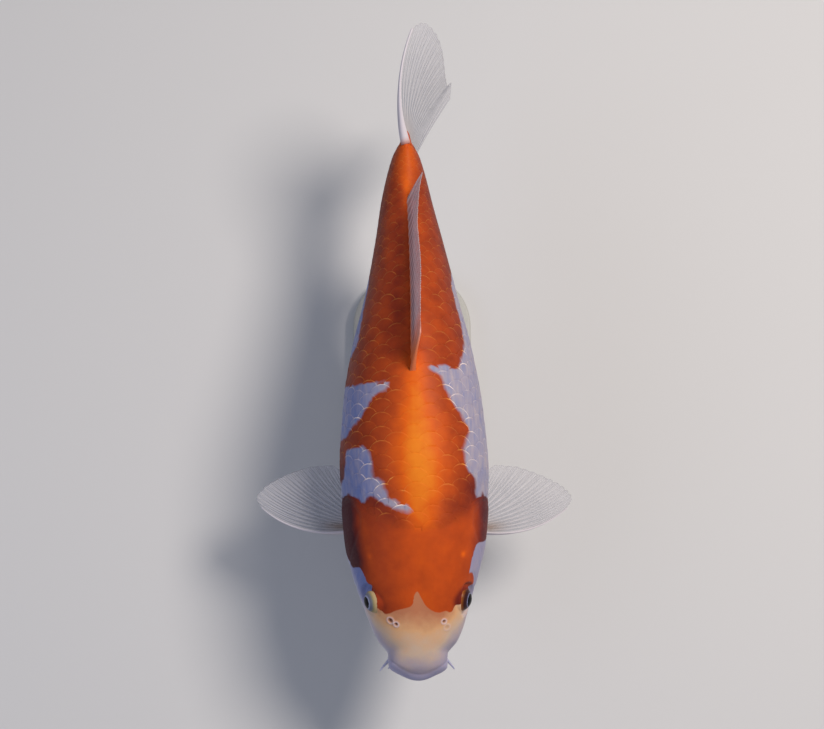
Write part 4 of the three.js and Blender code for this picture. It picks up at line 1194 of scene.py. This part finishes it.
for mask, share, layer in (
    (value["ray"], 0.75, srgb("#dad8de")),
    (fleshy, 0.5, srgb("#b3a39c")),
    (value["lead"], 0.7, srgb("#d3cdd8")),
    (value["stain"], 0.9, red),
):
    cover = add(tree, "ShaderNodeMath", {0: mask, 1: share}, operation="MULTIPLY", use_clamp=True)
    inputs = {0: cover.outputs[0], 6: colour, 7: layer}
    colour = add(tree, "ShaderNodeMix", inputs, data_type="RGBA").outputs[2]
veil = {"Value": value["out"], "From Min": 0.1, "From Max": 1.0, "To Min": 0.55, "To Max": 0.25}
solid = add(tree, "ShaderNodeMapRange", veil).outputs[0]
inputs = {0: value["ray"], 1: 0.22, 2: solid}
solid = add(tree, "ShaderNodeMath", inputs, operation="MULTIPLY_ADD").outputs[0]
for mask in (fleshy, value["lead"], value["stain"]):
    inputs = {0: mask, 1: solid}
    solid = add(tree, "ShaderNodeMath", inputs, operation="MAXIMUM", use_clamp=True).outputs[0]
jointed = add(tree, "ShaderNodeMath", {0: value["joint"], 1: math.tau}, operation="MULTIPLY").outputs[0]
jointed = add(tree, "ShaderNodeMath", {0: jointed}, operation="SINE").outputs[0]
jointed = add(tree, "ShaderNodeMath", {0: jointed, 1: value["ray"]}, operation="MULTIPLY").outputs[0]
height = add(tree, "ShaderNodeMath", {0: jointed, 1: 0.3, 2: cloud}, operation="MULTIPLY_ADD").outputs[0]
fin_bump = add(tree, "ShaderNodeBump", {"Strength": 0.3, "Distance": 0.2 * MM, "Height": height})
tree.links.new(colour, shader.inputs["Base Color"])
tree.links.new(solid, shader.inputs["Alpha"])
tree.links.new(fin_bump.outputs[0], shader.inputs["Normal"])

for name, (fin, rays) in FINS.items():
    piece = sheet_of_rays(name.replace("fin", "rays"), fin, rays)
    piece.data.materials.append(fin_film)
    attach(piece, "root")
    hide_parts(name)

# ---------------------------------------------------------------- stand
# A flat steel plate with round ends, powder coated, and two turned stainless posts that stand in it on small
# flanges and hold the fish up by its belly.

# Powder coat: baked on in a matt grey, with a fine grain that breaks up the light.
GRAIN_MM, TURNED_MM = 1.2, 0.3
powder_coat, tree, shader = new_material("powder_coated_steel", {"Roughness": 0.5})
place_on = add(tree, "ShaderNodeTexCoord").outputs["Object"]
inputs = {"Vector": place_on, "Scale": 1 / (GRAIN_MM * MM), "Detail": 3}
grain = add(tree, "ShaderNodeTexNoise", inputs).outputs[0]
coat_bump = add(tree, "ShaderNodeBump", {"Strength": 0.35, "Distance": 0.1 * MM, "Height": grain})
inputs = {0: grain, 6: srgb("#a9a9a6"), 7: srgb("#b7b7b3")}
coat_tone = add(tree, "ShaderNodeMix", inputs, data_type="RGBA")
tree.links.new(coat_tone.outputs[2], shader.inputs["Base Color"])
tree.links.new(coat_bump.outputs[0], shader.inputs["Normal"])

# Turned steel keeps fine marks round the post, drawn 0.3 mm apart, that spread its shine along it.
turned_steel, tree, shader = new_material("turned_stainless_steel", {"Metallic": 1.0})
place_on = add(tree, "ShaderNodeTexCoord").outputs["Object"]
inputs = {"Vector": place_on, "Scale": (8, 8, 1 / (TURNED_MM * MM))}
stretch = add(tree, "ShaderNodeMapping", inputs).outputs[0]
marks = add(tree, "ShaderNodeTexNoise", {"Vector": stretch, "Scale": 1, "Detail": 3}).outputs[0]
shine = add(tree, "ShaderNodeMapRange", {"Value": marks, "To Min": 0.2, "To Max": 0.42}).outputs[0]
tree.links.new(shine, shader.inputs["Roughness"])
shader.inputs["Base Color"].default_value = srgb("#b4b6b8")

PLATE_EDGE = 1.5  # the round along the plate's edges
low, high = (np.array(corner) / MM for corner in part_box("stand_base"))
half_across, half_long = (high - low)[:2] / 2
middle = (low + high) / 2
corner_turn = np.linspace(0, np.pi, 97)
arc = np.stack([np.cos(corner_turn), np.sin(corner_turn)], -1) * half_across
straight = np.array([0, half_long - half_across])
outline = np.vstack([arc + straight, -arc - straight])
away = outline - np.sign(outline[:, 1:]) * straight
away /= np.linalg.norm(away, axis=1, keepdims=True)
# Rings of the outline, from the middle of the underside over the rounded edge to the middle of the top.
quarter = np.linspace(0, np.pi / 2, 8)
rings = [(half_across * 0.5, 0)]
rings += [(PLATE_EDGE * (1 - np.sin(t)), PLATE_EDGE * (1 - np.cos(t))) for t in quarter]
levels = [(inset, low[2] + rise) for inset, rise in rings]
levels += [(inset, high[2] - rise) for inset, rise in rings[::-1]]
grid = []
for inset, z in levels:
    ring = outline - away * inset + middle[:2]
    grid.append(np.column_stack([ring, np.full(len(ring), z)]))
foot_plate = closed_loft("stand_plate", np.array(grid))
foot_plate.data.materials.append(powder_coat)
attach(foot_plate, "root")
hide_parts("stand_base")

POST, FLANGE, TENON = 4, 9, 3  # radii
FLANGE_HIGH, FLANGE_EDGE, FILLET = 3, 0.6, 2
POST_TIP = 0.4  # the bevel at the post's upper end, inside the belly
CLEAR = 0.05  # between the flange and the plate
for name in ("front", "rear"):
    low, high = (np.array(corner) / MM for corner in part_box(f"stand_rod_{name}"))
    x, y, _ = (low + high) / 2
    plate_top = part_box("stand_base")[1].z / MM
    turn = np.linspace(0, np.pi / 2, 7)
    flange_top = plate_top + FLANGE_HIGH
    shape = [(TENON, low[2]), (TENON, plate_top + CLEAR), (FLANGE, plate_top + CLEAR)]
    for t in turn:
        shape.append((FLANGE - FLANGE_EDGE * (1 - np.cos(t)), flange_top - FLANGE_EDGE * (1 - np.sin(t))))
    for t in turn:
        shape.append((POST + FILLET * (1 - np.sin(t)), flange_top + FILLET * (1 - np.cos(t))))
    shape += [(POST, high[2] - POST_TIP), (POST - POST_TIP, high[2])]
    radii, heights = np.array(shape).T
    around = np.linspace(0, 2 * np.pi, 64, endpoint=False)
    circle = np.stack([np.cos(around), np.sin(around)], -1)
    grid = np.empty((len(shape), len(around), 3))
    grid[..., :2] = radii[:, None, None] * circle + np.array([x, y])
    grid[..., 2] = heights[:, None]
    post = closed_loft(f"stand_post_{name}", grid)
    post.data.materials.append(turned_steel)
    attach(post, "root")
    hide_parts(f"stand_rod_{name}")

# ---------------------------------------------------------------- studio
# A pale floor, a large soft lamp high on the fish's left, a weaker one on its right, and the camera above.

FLOOR_HALF = 4  # m
corners = np.array([(-1, -1, 0), (1, -1, 0), (1, 1, 0), (-1, 1, 0)]) * FLOOR_HALF / MM
floor = new_piece("floor", corners, [(0, 1, 2, 3)])
floor_paint, tree, shader = new_material("matt_floor_paint", {"Roughness": 0.9, "Specular IOR Level": 0.2})
shader.inputs["Base Color"].default_value = srgb("#cdced2")
floor.data.materials.append(floor_paint)

world = bpy.data.worlds.new("studio")
bpy.context.scene.world = world
world.use_nodes = True
world.node_tree.nodes["Background"].inputs[0].default_value = srgb("#e2e7f2")
world.node_tree.nodes["Background"].inputs[1].default_value = 0.3

# Where each lamp hangs, in metres, how wide it is, and its power and colour. Both point at the fish.
for name, where, size, power, tint in (
    ("key", (0.75, 0.35, 1.5), 0.6, 24, "#fff4e6"),
    ("fill", (-1.1, -0.5, 1.0), 1.2, 4, "#dfe8ff"),
):
    lamp = bpy.data.lights.new(name, "AREA")
    lamp.shape = "DISK"
    lamp.size = size
    lamp.energy = power
    lamp.color = srgb(tint)[:3]
    holder = bpy.data.objects.new(name, lamp)
    bpy.context.scene.collection.objects.link(holder)
    holder.location = where
    aim = np.array([0, 0, SPINE_HEIGHT * MM]) - np.array(where)
    yaw = math.atan2(aim[0], -aim[1])
    holder.rotation_euler = (math.atan2(math.hypot(aim[0], aim[1]), -aim[2]), 0, math.pi + yaw)

CAMERA_DISTANCE = 1.4
CAMERA_DOWN = math.radians(75)  # how steeply it looks down
TARGET = (0, 0.0185, SPINE_HEIGHT * MM)
camera_data = bpy.data.cameras.new("camera")
camera_data.lens = 93.06  # mm, on a sensor 36 mm wide
camera_data.sensor_width = 36
camera = bpy.data.objects.new("camera", camera_data)
bpy.context.scene.collection.objects.link(camera)
camera.location = (
    TARGET[0],
    TARGET[1] - CAMERA_DISTANCE * math.cos(CAMERA_DOWN),
    TARGET[2] + CAMERA_DISTANCE * math.sin(CAMERA_DOWN),
)
camera.rotation_euler = (math.pi / 2 - CAMERA_DOWN, 0, 0)
bpy.context.scene.camera = camera
bpy.context.scene.view_settings.view_transform = "Standard"
